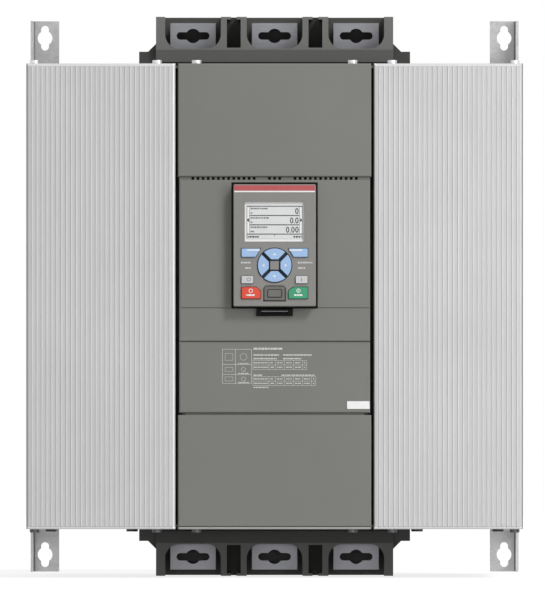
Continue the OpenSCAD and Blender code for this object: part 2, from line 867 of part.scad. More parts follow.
// Straight busbar with its terminal hole
module busbar_blank() {
    difference() {
        box([-bar_w / 2, bar_face_y, bar_foot_z], [bar_w / 2, bar_back_y, bar_end_z]);
        translate([0, 0, terminal_z]) front_extrude(bar_face_y - cut, bar_back_y + cut) terminal_hole();
    }
}

// Strap from an outer busbar to the thyristor on its side
module outer_strap() {
    inner = chassis_x - module_t;
    box([inner - strap_t, bar_back_y - seat, module_z - strap_h / 2],
        [inner, module_back_y - module_d / 2, module_z + strap_h / 2]);
}

// Strap from the middle busbar to the two middle thyristors
module middle_strap() {
    inner = chassis_x - module_t;
    box([-bar_w / 2, bar_back_y - seat, middle_strap_z0],
        [bar_w / 2, bar_back_y + strap_t, bar_foot_z + bar_lap]);
    box([-inner, bar_back_y - seat, middle_strap_z0], [inner, bar_back_y + strap_t, middle_strap_z1]);
    for (x = [-1, 1]) on_side(x)
        box([inner - strap_t, bar_back_y - seat, middle_strap_z0],
            [inner, module_back_y - module_d / 2, middle_strap_z1]);
}

// Busbar of phase -1, 0 or 1, at the line end when end is 1 and at the load end when end is -1
module busbar(phase, end) color("silver") on_end(end) {
    translate([phase * phase_pitch, 0, 0]) busbar_blank();
    if (phase == 0) middle_strap();
    else on_side(phase) outer_strap();
}

// Thyristor module on a heat sink's base
module thyristor(side, row) color("tan") on_side(side) translate([0, 0, row * module_z]) {
    inner = chassis_x - module_t;
    front = module_back_y - module_d;
    cap = inner + module_cap_h;
    box([cap, front, -module_h / 2], [chassis_x, module_back_y, module_h / 2]);
    box([inner, front + module_cap_inset, -module_h / 2 + module_cap_inset],
        [cap + seat, module_back_y - module_cap_inset, module_h / 2 - module_cap_inset]);
}

// Current transformer round a load busbar
module current_transformer(phase) color("navy")
    translate([phase * phase_pitch, (bar_face_y + bar_back_y) / 2, transformer_z - transformer_h / 2])
        linear_extrude(transformer_h) difference() {
            round_rect(transformer_w, transformer_d, transformer_r);
            square([bar_w + 2 * seat, bar_t + 2 * seat], center = true);
        }

// Bypass contactor across the three phases
module bypass_contactor() color("darkslategray") {
    front = contactor_front_y;
    base_y = bar_face_y - contactor_base_d;
    pole_y = base_y - contactor_pole_d;
    pole_x = bar_w / 2 + contactor_pole_rim;
    pole_z = contactor_h / 2 - contactor_pole_inset;
    head_x = contactor_w / 2 - contactor_head_inset;
    box([-contactor_w / 2, base_y, -contactor_h / 2], [contactor_w / 2, bar_face_y, contactor_h / 2]);
    for (i = [-1, 0, 1]) translate([i * phase_pitch, 0, 0])
        box([-pole_x, pole_y, -pole_z], [pole_x, base_y + cut, pole_z]);
    box([-head_x, front, -contactor_head_h / 2], [head_x, pole_y + cut, contactor_head_h / 2]);
}

// Circuit board with a few tall parts, seated on the housing's bosses
module circuit_board(y0, y1) {
    box([-board_w / 2, y0, -board_h / 2], [board_w / 2, y1, board_h / 2]);
    children();
}

// Control board inside the housing
module control_board() color("darkgreen") {
    y1 = housing_back_y - plastic_wall - boss_h;
    top_y = y1 - board_t;
    circuit_board(top_y, y1) {
        for (i = [0 : connector_count - 1])
            translate([(i - (connector_count - 1) / 2) * connector_pitch, top_y - connector[1] / 2 + seat / 2,
                connector_inset - board_h / 2]) cube(connector + [0, seat, 0], center = true);
        translate([0, top_y - chip[1] / 2 + seat / 2, chip_z]) cube(chip + [0, seat, 0], center = true);
    }
}

// Firing board behind the housing
module power_board() color("darkgreen") {
    y0 = housing_back_y + boss_h;
    top_y = y0 + board_t;
    circuit_board(y0, top_y) {
        for (i = [0 : choke_count - 1])
            translate([(i - (choke_count - 1) / 2) * choke_pitch, top_y + choke[1] / 2 - seat / 2, choke_z])
                cube(choke + [0, seat, 0], center = true);
    }
}

// Keypad

// Black holder in the middle cover's opening: a tray with a flange behind the cover
module keypad_holder() color("black") translate([0, 0, keypad_z]) {
    difference() {
        union() {
            box([-holder_x, face_y - holder_proud, -holder_z], [holder_x, holder_back_y, holder_z]);
            box([-holder_x - holder_flange, face_y + plastic_wall, -holder_z],
                [holder_x + holder_flange, face_y + plastic_wall + holder_flange_t,
                    holder_z + holder_flange]);
        }
        box([-holder_x + holder_rim, face_y - holder_proud - cut, -holder_z + holder_rim],
            [holder_x - holder_rim, keypad_back_y + seat, holder_z - holder_rim]);
    }
}

// Release latch with its grip ribs
module keypad_latch() color("black") {
    latch_z0 = latch_z1 - latch_h;
    front = face_y - latch_proud;
    difference() {
        box([-latch_w / 2, front, latch_z0], [latch_w / 2, front + latch_d, latch_z1 - seat]);
        box([-latch_w / 2 + latch_rim, front - cut, latch_z0 + latch_rim_h],
            [latch_w / 2 - latch_rim, front + latch_recess_d, latch_z1 - seat - latch_rim_h]);
    }
    for (i = [-1, 1]) translate([0, 0, (latch_z0 + latch_z1 - seat + i * latch_grip_gap) / 2])
        box([-latch_w / 2 + latch_rim - seat, front + seat, -latch_grip_h / 2],
            [latch_w / 2 - latch_rim + seat, front + latch_recess_d + seat, latch_grip_h / 2]);
    box([-latch_w / 2 - latch_hook, face_y + plastic_wall + latch_hook_gap, latch_z0],
        [latch_w / 2 + latch_hook, front + latch_d + latch_hook, latch_z1 - seat]);
}

// Outlines of the keys, in X and Z from the keypad's middle, grown on all sides by grow

module soft_key_outline(grow = 0) {
    top = soft_key_z + soft_key_h / 2;
    foot = top - soft_key_h;
    offset(delta = grow) polygon([[key_out_x, top], [soft_key_in_x, top],
        [soft_key_in_x + soft_key_slant, foot], [key_out_x, foot]]);
}

// The upper arrow key; the others are turned from it
module arrow_key_outline(grow = 0) {
    reach = arrow_pad_d;
    side = arrow_gap / sqrt(2) - grow * sqrt(2);
    foot = arrow_in - grow;
    intersection() {
        circle(d = arrow_pad_d + 2 * grow);
        polygon([[side - foot, foot], [foot - side, foot], [reach - side, reach], [side - reach, reach]]);
    }
}

module small_key_outline(grow = 0) {
    translate([key_out_x - small_key_w / 2, small_key_z])
        round_rect(small_key_w + 2 * grow, small_key_h + 2 * grow, small_key_r + grow);
}

module command_key_outline(grow = 0) {
    x0 = key_out_x - command_key_w;
    z0 = command_key_z - command_key_h / 2;
    z1 = command_key_z + command_key_h / 2;
    offset(delta = grow) polygon([[key_out_x, z0], [key_out_x, z1], [x0 + command_key_cut[0], z1],
        [x0, z1 - command_key_cut[1]], [x0, z0]]);
}

// One key from two outlines: the cap through the face, and the flange behind it
module key() {
    flange_y = keypad_face_y + keypad_wall + seat;
    translate([0, 0, keypad_z]) {
        front_extrude(key_face_y, flange_y) children(0);
        front_extrude(flange_y, flange_y + key_flange_t) children(1);
    }
}

// Soft key, left or right
module soft_key(side) color("lightsteelblue") on_side(side) key() {
    soft_key_outline();
    soft_key_outline(key_flange);
}

// Arrow key turned anticlockwise from the top by a number of quarter turns
module arrow_key(turns) color("lightsteelblue") key() {
    translate([0, arrow_z]) rotate(90 * turns) arrow_key_outline();
    translate([0, arrow_z]) rotate(90 * turns) arrow_key_outline(key_flange);
}

// Small key, left for local control or right for information
module small_key(side) color("lightgray") on_side(side) key() {
    small_key_outline();
    small_key_outline(key_flange);
}

// Command key, left to stop or right to start
module command_key(side) on_side(side) key() {
    command_key_outline();
    command_key_outline(key_flange);
}

module stop_key() color("red") command_key(-1);
module start_key() color("green") command_key(1);

// All key openings together
module key_openings() {
    for (x = [0, 1]) mirror([x, 0]) {
        soft_key_outline(key_play);
        small_key_outline(key_play);
        command_key_outline(key_play);
    }
    translate([0, arrow_z]) for (i = [0 : 3]) rotate(90 * i) arrow_key_outline(key_play);
}

// Sunk ring round the arrow keys, with an island in its middle
module arrow_pocket() {
    translate([0, arrow_z]) difference() {
        circle(d = arrow_pad_d + 2 * arrow_rim);
        square(2 * arrow_island, center = true);
    }
}

// Outline of the flap over the service socket, round at the top
module flap_outline(grow) {
    w = flap_w + 2 * grow;
    h = flap_h + 2 * grow;
    r = flap_corner_r + grow;
    translate([0, flap_z]) {
        rect([-w / 2, -h / 2], [w / 2, h / 2 - r]);
        rect([-w / 2 + r, -h / 2], [w / 2 - r, h / 2]);
        for (x = [-1, 1]) translate([x * (w / 2 - r), h / 2 - r]) circle(r);
    }
}

// Hinge line of the flap
flap_hinge_y = keypad_face_y + flap_t / 2;
flap_hinge_z = keypad_z + flap_z - flap_h / 2 + flap_t / 2;

// Outline of the flap's finger tab, grown on all sides by grow
module flap_tab_outline(grow = 0) {
    translate([0, flap_z]) round_rect(flap_tab_w + 2 * grow, flap_tab_h + 2 * grow, flap_tab_r + grow);
}

// Flap with a finger tab in a groove and a hinge barrel at its foot
module usb_flap() color("gray") {
    difference() {
        translate([0, 0, keypad_z]) {
            difference() {
                front_extrude(keypad_face_y, keypad_face_y + flap_t) flap_outline(0);
                front_extrude(keypad_face_y - cut, keypad_face_y + flap_groove_d)
                    flap_tab_outline(flap_groove_w);
            }
            front_extrude(keypad_face_y - flap_tab_proud, keypad_face_y + flap_groove_d + seat)
                flap_tab_outline();
        }
        box([-flap_w, keypad_face_y - cut, flap_hinge_z - 2 * flap_t],
            [flap_w, keypad_face_y + flap_t + cut, flap_hinge_z]);
    }
    translate([-flap_w / 2, flap_hinge_y, flap_hinge_z]) rotate([0, 90, 0]) cylinder(d = flap_t, h = flap_w);
    translate([-flap_w / 2 - flap_pin_l, flap_hinge_y, flap_hinge_z]) rotate([0, 90, 0])
        cylinder(d = flap_pin_d, h = flap_w + 2 * flap_pin_l);
}

// Front shell of the keypad
module keypad_front() color("gray") {
    pocket_y = keypad_face_y + flap_t + seat;
    difference() {
        intersection() {
            translate([0, 0, keypad_z])
                bevelled_slab(keypad_x, -keypad_h / 2, keypad_h / 2, keypad_face_y, keypad_split_y,
                    keypad_bevel);
            translate([0, 0, keypad_z]) front_extrude(keypad_face_y - cut, keypad_split_y + cut)
                round_rect(keypad_w, keypad_h, keypad_corner_r);
        }
        translate([0, 0, keypad_z]) {
            difference() {
                box([-keypad_x + keypad_wall, keypad_face_y + keypad_wall, -keypad_h / 2 + keypad_wall],
                    [keypad_x - keypad_wall, keypad_split_y + cut, keypad_h / 2 - keypad_wall]);
                front_extrude(keypad_face_y, pocket_y + flap_pocket_wall)
                    flap_outline(flap_play + flap_pocket_wall);
            }
            front_extrude(keypad_face_y - cut, keypad_face_y + arrow_groove_d) arrow_pocket();
            front_extrude(keypad_face_y - cut, keypad_face_y + keypad_wall + cut) key_openings();
            front_extrude(keypad_face_y - cut, pocket_y) flap_outline(flap_play);
            front_extrude(keypad_face_y - cut, pocket_y + flap_pocket_wall + cut)
                translate([0, flap_z]) square([socket_w + 2 * seat, socket_h + 2 * seat], center = true);
        }
        box([-display_w / 2, keypad_face_y - cut, display_z - display_h / 2],
            [display_w / 2, keypad_face_y + keypad_wall + cut, display_z + display_h / 2]);
        translate([-flap_w / 2 - flap_pin_l - seat, flap_hinge_y, flap_hinge_z]) rotate([0, 90, 0])
            cylinder(d = flap_pin_d + 2 * pin_play, h = flap_w + 2 * flap_pin_l + 2 * seat);
    }
}

// Rear shell of the keypad
module keypad_rear() color("dimgray") translate([0, 0, keypad_z]) difference() {
    front_extrude(keypad_split_y, keypad_back_y) round_rect(keypad_w, keypad_h, keypad_corner_r);
    box([-keypad_x + keypad_wall, keypad_split_y - cut, -keypad_h / 2 + keypad_wall],
        [keypad_x - keypad_wall, keypad_back_y - keypad_wall, keypad_h / 2 - keypad_wall]);
}

// Clear window over the display
module display_window() color("white") {
    box([-display_w / 2 + window_gap, keypad_face_y + window_sink, display_z - display_h / 2 + window_gap],
        [display_w / 2 - window_gap, keypad_face_y + keypad_wall - window_gap,
            display_z + display_h / 2 - window_gap]);
}

// Display behind the window
module display_module() color("white") {
    box([-display_w / 2 - display_rim, keypad_face_y + keypad_wall, display_z - display_h / 2 - display_foot],
        [display_w / 2 + display_rim, keypad_board_y, display_z + display_h / 2 + display_rim]);
}

// Board behind the keys and the display
module keypad_board() color("darkgreen") {
    box([-keypad_x + keypad_wall + seat, keypad_board_y, keypad_z - keypad_h / 2 + keypad_wall + seat],
        [keypad_x - keypad_wall - seat, keypad_board_y + board_t,
            keypad_z + keypad_h / 2 - keypad_wall - seat]);
}

// Service socket behind the flap: a thin metal shell with a contact tongue
module usb_socket() color("silver") translate([0, 0, keypad_z + flap_z]) {
    mouth_y = keypad_face_y + flap_t + 2 * seat;
    front_extrude(mouth_y, keypad_board_y) difference() {
        square([socket_w, socket_h], center = true);
        square([socket_w - 2 * socket_wall, socket_h - 2 * socket_wall], center = true);
    }
    front_extrude(keypad_board_y - socket_wall, keypad_board_y) square([socket_w, socket_h], center = true);
    front_extrude(mouth_y + socket_tongue_drop, keypad_board_y) square(socket_tongue, center = true);
}

// Fasteners

// Button-head screw with a hexagon socket, its head upright on the origin
module screw() {
    difference() {
        union() {
            cylinder(d = screw_head_d, h = screw_head_h);
            translate([0, 0, -screw_l]) cylinder(d = screw_shank_d, h = screw_l + seat);
        }
        translate([0, 0, screw_head_h - hex_depth]) cylinder(d = hex_w, h = hex_depth + cut, $fn = 6);
    }
}

// Screws of the side covers and of the upper and lower cover
module cover_screws() color("whitesmoke")
    for (end = [-1, 1], x = [side_screw_out_x, side_screw_in_x, centre_screw_x], side = [-1, 1])
        on_end(end) translate([side * x, screw_y, cover_z]) screw();

// Push rivets that hold the fans
module fan_rivets() color("black") for (side = [-1, 1]) on_side(side) on_end(-1)
    at_fan_holes() translate([0, 0, chassis_z]) {
        cylinder(d = rivet_head_d, h = rivet_head_h);
        translate([0, 0, -rivet_l]) cylinder(d = rivet_shank_d, h = rivet_l + seat);
    }

mounting_plate();
chassis();
heat_sink(-1);  // left_heat_sink
heat_sink(1);  // right_heat_sink
air_outlet(-1);  // left_air_outlet
air_outlet(1);  // right_air_outlet
fan_plate(-1);  // left_fan_plate
fan_plate(1);  // right_fan_plate
fan_frame(-1);  // left_fan_frame
fan_frame(1);  // right_fan_frame
fan_rotor(-1);  // left_fan_rotor
fan_rotor(1);  // right_fan_rotor
side_cover(-1);  // left_side_cover
side_cover(1);  // right_side_cover
terminal_block(1);  // upper_terminal_block
terminal_block(-1);  // lower_terminal_block
busbar(-1, 1);  // line_busbar_1
busbar(0, 1);  // line_busbar_2
busbar(1, 1);  // line_busbar_3
busbar(-1, -1);  // load_busbar_1
busbar(0, -1);  // load_busbar_2
busbar(1, -1);  // load_busbar_3
thyristor(-1, 1);  // thyristor_1
thyristor(-1, 0);  // thyristor_2
thyristor(-1, -1);  // thyristor_3
thyristor(1, 1);  // thyristor_4
thyristor(1, 0);  // thyristor_5
thyristor(1, -1);  // thyristor_6
current_transformer(-1);  // current_transformer_1
current_transformer(0);  // current_transformer_2
current_transformer(1);  // current_transformer_3
bypass_contactor();
control_housing();
control_board();
power_board();
upper_cover();
middle_cover();
label_cover();
lower_cover();
keypad_holder();
keypad_latch();
keypad_front();
keypad_rear();
display_window();
display_module();
keypad_board();
usb_socket();
usb_flap();
soft_key(-1);  // left_soft_key
soft_key(1);  // right_soft_key
arrow_key(0);  // up_key
arrow_key(1);  // left_key
arrow_key(2);  // down_key
arrow_key(3);  // right_key
small_key(-1);  // local_key
small_key(1);  // info_key
stop_key();
start_key();
cover_screws();
fan_rivets();
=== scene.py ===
"""Looks for the wall-mounted soft starter: materials, prints, floor, light and camera."""

import json
import math

import bmesh
import bpy
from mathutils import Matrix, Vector


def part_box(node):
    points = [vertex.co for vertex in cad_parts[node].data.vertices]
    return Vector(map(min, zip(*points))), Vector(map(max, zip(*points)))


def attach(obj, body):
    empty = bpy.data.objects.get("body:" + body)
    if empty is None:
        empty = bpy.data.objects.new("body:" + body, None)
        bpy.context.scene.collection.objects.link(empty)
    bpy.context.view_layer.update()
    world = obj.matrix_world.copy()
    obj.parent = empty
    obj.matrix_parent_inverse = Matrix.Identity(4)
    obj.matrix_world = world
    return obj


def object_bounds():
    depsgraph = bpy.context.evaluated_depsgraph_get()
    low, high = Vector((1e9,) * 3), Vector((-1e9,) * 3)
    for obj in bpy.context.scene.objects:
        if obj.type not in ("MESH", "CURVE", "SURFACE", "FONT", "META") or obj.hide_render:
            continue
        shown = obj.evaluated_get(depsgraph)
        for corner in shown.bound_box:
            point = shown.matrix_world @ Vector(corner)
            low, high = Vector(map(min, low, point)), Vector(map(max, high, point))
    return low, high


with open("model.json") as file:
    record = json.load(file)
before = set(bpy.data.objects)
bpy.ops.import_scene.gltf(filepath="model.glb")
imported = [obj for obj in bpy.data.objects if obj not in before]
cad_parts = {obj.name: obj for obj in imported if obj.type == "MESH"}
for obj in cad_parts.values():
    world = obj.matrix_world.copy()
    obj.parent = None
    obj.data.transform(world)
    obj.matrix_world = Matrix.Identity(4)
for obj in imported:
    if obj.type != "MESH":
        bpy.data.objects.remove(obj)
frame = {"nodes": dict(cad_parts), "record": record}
cad_low, cad_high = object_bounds()
nodes = frame["nodes"]

MM = 0.001
WHITE = (1.0, 1.0, 1.0)


def box_mm(node):
    """Lowest and highest corner of a node at rest, in millimetres."""
    low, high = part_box(node)
    return low / MM, high / MM


def middle_mm(node):
    """X and Z of the middle of a node at rest, in millimetres."""
    low, high = box_mm(node)
    return (low.x + high.x) / 2, (low.z + high.z) / 2


# Faces that carry print, as places along Y in millimetres

COVER_FACE = box_mm("label_cover")[0].y
KEYPAD_FACE = box_mm("keypad_front")[0].y
KEY_FACE = box_mm("up_key")[0].y
DISPLAY_FACE = box_mm("display_module")[0].y
LATCH_FACE = box_mm("keypad_latch")[0].y


# Nodes that the materials share

NOISE_SPAN = (0.3, 0.7)
FULL_SPAN = (0.0, 1.0)


def shader(name, roughness, metallic=0.0, specular=0.5):
    """A new material with a Principled shader."""
    mat = bpy.data.materials.new(name)
    mat.use_nodes = True
    tree = mat.node_tree
    bsdf = tree.nodes["Principled BSDF"]
    bsdf.inputs["Roughness"].default_value = roughness
    bsdf.inputs["Metallic"].default_value = metallic
    bsdf.inputs["Specular IOR Level"].default_value = specular
    return mat, tree, bsdf


def coordinates(tree, stretch=(1.0, 1.0, 1.0)):
    """Object coordinates in metres, stretched along each axis."""
    source = tree.nodes.new("ShaderNodeTexCoord")
    mapping = tree.nodes.new("ShaderNodeMapping")
    mapping.inputs["Scale"].default_value = stretch
    tree.links.new(source.outputs["Object"], mapping.inputs["Vector"])
    return mapping.outputs["Vector"]


def noise(tree, vector, scale, detail=2.0, roughness=0.5):
    """Noise that mostly lies within NOISE_SPAN."""
    node = tree.nodes.new("ShaderNodeTexNoise")
    node.inputs["Scale"].default_value = scale
    node.inputs["Detail"].default_value = detail
    node.inputs["Roughness"].default_value = roughness
    tree.links.new(vector, node.inputs["Vector"])
    return node.outputs["Fac"]


def cells(tree, vector, scale):
    """Voronoi cells, as a node whose outputs the caller picks."""
    node = tree.nodes.new("ShaderNodeTexVoronoi")
    node.inputs["Scale"].default_value = scale
    tree.links.new(vector, node.inputs["Vector"])
    return node


def spread(tree, value, low=0.0, high=1.0, source=NOISE_SPAN):
    """Maps a value from its own span to a range."""
    node = tree.nodes.new("ShaderNodeMapRange")
    node.inputs["From Min"].default_value = source[0]
    node.inputs["From Max"].default_value = source[1]
    node.inputs["To Min"].default_value = low
    node.inputs["To Max"].default_value = high
    tree.links.new(value, node.inputs["Value"])
    return node.outputs["Result"]


def tint(tree, factor, dark, light):
    """Mixes two colours by a factor between 0 and 1."""
    node = tree.nodes.new("ShaderNodeMix")
    node.data_type = "RGBA"
    node.inputs["A"].default_value = (*dark, 1)
    node.inputs["B"].default_value = (*light, 1)
    tree.links.new(factor, node.inputs["Factor"])
    return node.outputs["Result"]


def scaled(colour, by):
    """A colour times a number, no brighter than white."""
    return tuple(min(1.0, c * by) for c in colour)


def graded(tree, factor, colour, darkest, lightest):
    """A colour that runs between two multiples of itself."""
    return tint(tree, factor, scaled(colour, darkest), scaled(colour, lightest))


def product(tree, a, b):
    """Multiplies two colours."""
    node = tree.nodes.new("ShaderNodeMix")
    node.data_type = "RGBA"
    node.blend_type = "MULTIPLY"
    node.inputs["Factor"].default_value = 1.0
    tree.links.new(a, node.inputs["A"])
    tree.links.new(b, node.inputs["B"])
    return node.outputs["Result"]


def calculate(tree, operation, value, other):
    """One step of arithmetic on a value, with a second value or a plain number."""
    node = tree.nodes.new("ShaderNodeMath")
    node.operation = operation
    tree.links.new(value, node.inputs[0])
    if isinstance(other, (int, float)):
        node.inputs[1].default_value = other
    else:
        tree.links.new(other, node.inputs[1])
    return node.outputs[0]


def uneven(tree, bsdf, value, roughness, by, source=NOISE_SPAN):
    """Lets the roughness run to both sides of its written value."""
    rough = spread(tree, value, roughness - by, roughness + by, source)
    tree.links.new(rough, bsdf.inputs["Roughness"])


def bump(tree, bsdf, height, strength, distance):
    """Tilts the surface by a height, over a distance in metres."""
    node = tree.nodes.new("ShaderNodeBump")
    node.inputs["Strength"].default_value = strength
    node.inputs["Distance"].default_value = distance
    tree.links.new(height, node.inputs["Height"])
    tree.links.new(node.outputs["Normal"], bsdf.inputs["Normal"])


def band(tree, tests):
    """1 where every (axis, low, high) test in millimetres holds, else 0; X counts from the middle."""
    parts = tree.nodes.new("ShaderNodeSeparateXYZ")
    tree.links.new(coordinates(tree), parts.inputs["Vector"])
    inside = None
    for axis, low, high in tests:
        value = parts.outputs[axis.upper()]
        if axis == "x":
            value = calculate(tree, "ABSOLUTE", value, 0)
        over = calculate(tree, "GREATER_THAN", value, low * MM)
        under = calculate(tree, "LESS_THAN", value, high * MM)
        between = calculate(tree, "MULTIPLY", over, under)
        inside = between if inside is None else calculate(tree, "MULTIPLY", inside, between)
    return inside


def shade(mat, tests, by):
    """Paints light or shade into a material's colour: multiplies it by a factor inside a band."""
    tree = mat.node_tree
    bsdf = tree.nodes["Principled BSDF"]
    colour = bsdf.inputs["Base Color"].links[0].from_socket
    factor = tint(tree, band(tree, tests), WHITE, (by, by, by))
    tree.links.new(product(tree, colour, factor), bsdf.inputs["Base Color"])


# Kinds of finish

ALONG_X = (0.03, 1.0, 1.0)
ALONG_Y = (1.0, 0.05, 1.0)
ALONG_Z = (1.0, 1.0, 0.015)
EXTRUDED = (1.0, 1.0, 0.02)
TURNED = (1.0, 1.0, 0.2)


def moulded(name, colour, roughness=0.5, texture=0.25, grain=2200.0, cloud=9.0, specular=0.45):
    """Moulded plastic: a fine spark-eroded grain, and faint clouds from the moulding."""
    mat, tree, bsdf = shader(name, roughness, specular=specular)
    place = coordinates(tree)
    clouds = noise(tree, place, cloud, detail=4.0, roughness=0.55)
    fine = noise(tree, place, grain, detail=3.0, roughness=0.65)
    base = graded(tree, spread(tree, clouds), colour, darkest=0.965, lightest=1.03)
    speck = graded(tree, spread(tree, fine), WHITE, darkest=0.93, lightest=1.0)
    tree.links.new(product(tree, base, speck), bsdf.inputs["Base Color"])
    uneven(tree, bsdf, fine, roughness, by=0.06)
    bump(tree, bsdf, fine, strength=texture, distance=0.04 * MM)
    return mat


def brushed(name, colour, roughness=0.38, metallic=0.6, stretch=EXTRUDED, grain=1400.0, amount=0.06):
    """Rolled or brushed metal, with streaks along the axis that is stretched least."""
    mat, tree, bsdf = shader(name, roughness, metallic)
    streaks = noise(tree, coordinates(tree, stretch), grain, detail=3.0, roughness=0.6)
    clouds = noise(tree, coordinates(tree), scale=14.0, detail=3.0, roughness=0.5)
    base = graded(tree, spread(tree, streaks), colour, darkest=1 - amount, lightest=1 + amount)
    cloud = graded(tree, spread(tree, clouds), WHITE, darkest=0.96, lightest=1.0)
    tree.links.new(product(tree, base, cloud), bsdf.inputs["Base Color"])
    uneven(tree, bsdf, streaks, roughness, by=0.07)
    bump(tree, bsdf, streaks, strength=0.12, distance=0.02 * MM)
    return mat


def galvanised(name, colour, roughness=0.42, metallic=0.75, flake=90.0):
    """Zinc-coated sheet with its crystal flakes."""
    mat, tree, bsdf = shader(name, roughness, metallic)
    place = coordinates(tree)
    single = tree.nodes.new("ShaderNodeSeparateColor")
    tree.links.new(cells(tree, place, flake).outputs["Color"], single.inputs["Color"])
    flakes = single.outputs["Red"]
    fine = noise(tree, place, scale=700.0, detail=3.0, roughness=0.6)
    base = graded(tree, flakes, colour, darkest=0.9, lightest=1.08)
    speck = graded(tree, spread(tree, fine), WHITE, darkest=0.95, lightest=1.0)
    tree.links.new(product(tree, base, speck), bsdf.inputs["Base Color"])
    uneven(tree, bsdf, flakes, roughness, by=0.08, source=FULL_SPAN)
    bump(tree, bsdf, fine, strength=0.08, distance=0.03 * MM)
    return mat


def clear(name, colour, alpha, roughness):
    """Thin clear plastic with a faint haze."""
    mat, tree, bsdf = shader(name, roughness)
    fine = noise(tree, coordinates(tree), scale=260.0)
    base = graded(tree, spread(tree, fine), colour, darkest=0.96, lightest=1.0)
    tree.links.new(base, bsdf.inputs["Base Color"])
    bsdf.inputs["Alpha"].default_value = alpha
    return mat


def board(name, colour, track):
    """Circuit board: solder resist with the pattern of its tracks showing through."""
    mat, tree, bsdf = shader(name, roughness=0.35)
    squares = cells(tree, coordinates(tree, ALONG_Y), scale=160.0)
    squares.distance = "MANHATTAN"
    distance = squares.outputs["Distance"]
    base = tint(tree, spread(tree, distance, source=(0.35, 0.6)), colour, track)
    tree.links.new(base, bsdf.inputs["Base Color"])
    bump(tree, bsdf, distance, strength=0.1, distance=0.05 * MM)
    return mat


def key_plastic(name, colour, roughness=0.38):
    """Smooth plastic of a key cap."""
    return moulded(name, colour, roughness, texture=0.1, grain=3000.0, cloud=60.0)


def ink(name, colour, roughness=0.5, specular=0.45):
    """Printed paint."""
    return moulded(name, colour, roughness, texture=0.1, grain=3000.0, cloud=40.0, specular=specular)


# Finishes of the solids, by the record's material slot

FINISH = {
    "galvanised_sheet": galvanised("zinc_sheet", (0.50, 0.50, 0.505), 0.42, metallic=0.85, flake=420.0),
    "chassis_sheet": galvanised("chassis_zinc", (0.43, 0.44, 0.45), 0.5, metallic=0.2, flake=300.0),
    "heat_sink_aluminium": brushed("extruded_aluminium", (0.62, 0.62, 0.63), 0.36, metallic=0.8),
    "side_cover_metal": brushed(
        "ribbed_sheet", (0.515, 0.515, 0.517), 0.46, metallic=0.3,
        stretch=ALONG_Z, grain=1100.0, amount=0.04),
    "fan_plastic": moulded("fan_black", (0.018, 0.018, 0.019), 0.42, texture=0.2),
    "terminal_plastic": moulded("terminal_grey", (0.137, 0.140, 0.129), texture=0.3, grain=1600.0),
    "tinned_copper": brushed(
        "tin_plate", (0.252, 0.254, 0.272), 0.4, metallic=0.7,
        stretch=ALONG_X, grain=1200.0, amount=0.08),
    "module_plastic": moulded("module_tan", (0.42, 0.36, 0.26)),
    "transformer_resin": moulded("transformer_blue", (0.03, 0.05, 0.14), 0.3),
    "contactor_plastic": moulded("contactor_grey", (0.06, 0.062, 0.065), 0.45),
    "cover_plastic": moulded("cover_grey", (0.187, 0.189, 0.174), 0.55, texture=0.22),
    "housing_plastic": moulded("housing_dark", (0.05, 0.05, 0.05)),
    "board_green": board("board_resist", (0.004, 0.03, 0.012), track=(0.01, 0.06, 0.025)),
    # Holder: black plastic, and in part painted shade, made near black and dull for the gap round the
    # keypad
    "black_plastic": moulded("holder_black", (0.004, 0.004, 0.004), 0.6, texture=0.2, specular=0.12),
    "keypad_plastic": moulded(
        "keypad_grey", (0.241, 0.236, 0.223), 0.4, texture=0.12, grain=3000.0, cloud=14.0),
    "flap_plastic": moulded(
        "flap_grey", (0.142, 0.139, 0.127), 0.42, texture=0.12, grain=3000.0, cloud=30.0),
    "window_clear": clear("display_cover", (0.9, 0.92, 0.92), alpha=0.06, roughness=0.08),
    "display_pale": moulded("display_white", (0.89, 0.895, 0.89), 0.4, texture=0.05, grain=3200.0),
    "socket_metal": brushed(
        "socket_plate", (0.55, 0.55, 0.56), 0.3, metallic=0.9, stretch=ALONG_Y, grain=2500.0),
    "key_blue": key_plastic("key_blue", (0.352, 0.527, 0.80)),
    "key_grey": key_plastic("key_pale", (0.60, 0.60, 0.62), 0.4),
    "key_red": key_plastic("key_red", (0.72, 0.07, 0.034)),
    "key_green": key_plastic("key_green", (0.038, 0.32, 0.16)),
    "screw_zinc": brushed(
        "screw_plate", (0.72, 0.72, 0.74), 0.3, metallic=0.9, stretch=TURNED, grain=1800.0),
}


# Finishes of the prints and the trim

INK_WHITE = ink("ink_white", (0.62, 0.62, 0.61), 0.55)
INK_BRIGHT = ink("ink_bright", (0.88, 0.88, 0.88))
INK_DARK = ink("ink_dark", (0.014, 0.015, 0.017), specular=0.2)
INK_GREY = ink("ink_grey", (0.13, 0.135, 0.14))
FIELD_GREY = moulded("display_field", (0.76, 0.77, 0.765), 0.4, texture=0.05, grain=3200.0, cloud=60.0)
STRIPE_RED = moulded("stripe_red", (0.47, 0.085, 0.09), 0.34, texture=0.1, grain=3000.0, cloud=30.0)
# Pale strip that paints the highlight along the foot of the lower cover
FOOT_HIGHLIGHT_PALE = brushed("foot_highlight", (0.42, 0.42, 0.41), 0.4, metallic=0.5, stretch=ALONG_X, grain=1500.0)
# Near black sheet at the bottom of the well round the arrow keys, as painted shade
PAD_GAP_SHADE = moulded(
    "painted_pad_shade", (0.026, 0.033, 0.048), 0.6, texture=0.2, grain=2500.0, cloud=40.0, specular=0.2)
GRIP_GREY = moulded("grip_grey", (0.22, 0.22, 0.216), texture=0.2, grain=2500.0, cloud=40.0)
PAPER = moulded("sticker_paper", (0.92, 0.92, 0.92), 0.6, texture=0.15, grain=1500.0, cloud=60.0)


# How far a shaded band runs past the outside of a solid, and to both sides of a face, in millimetres

PAST = 1.0
SKIN = 0.1
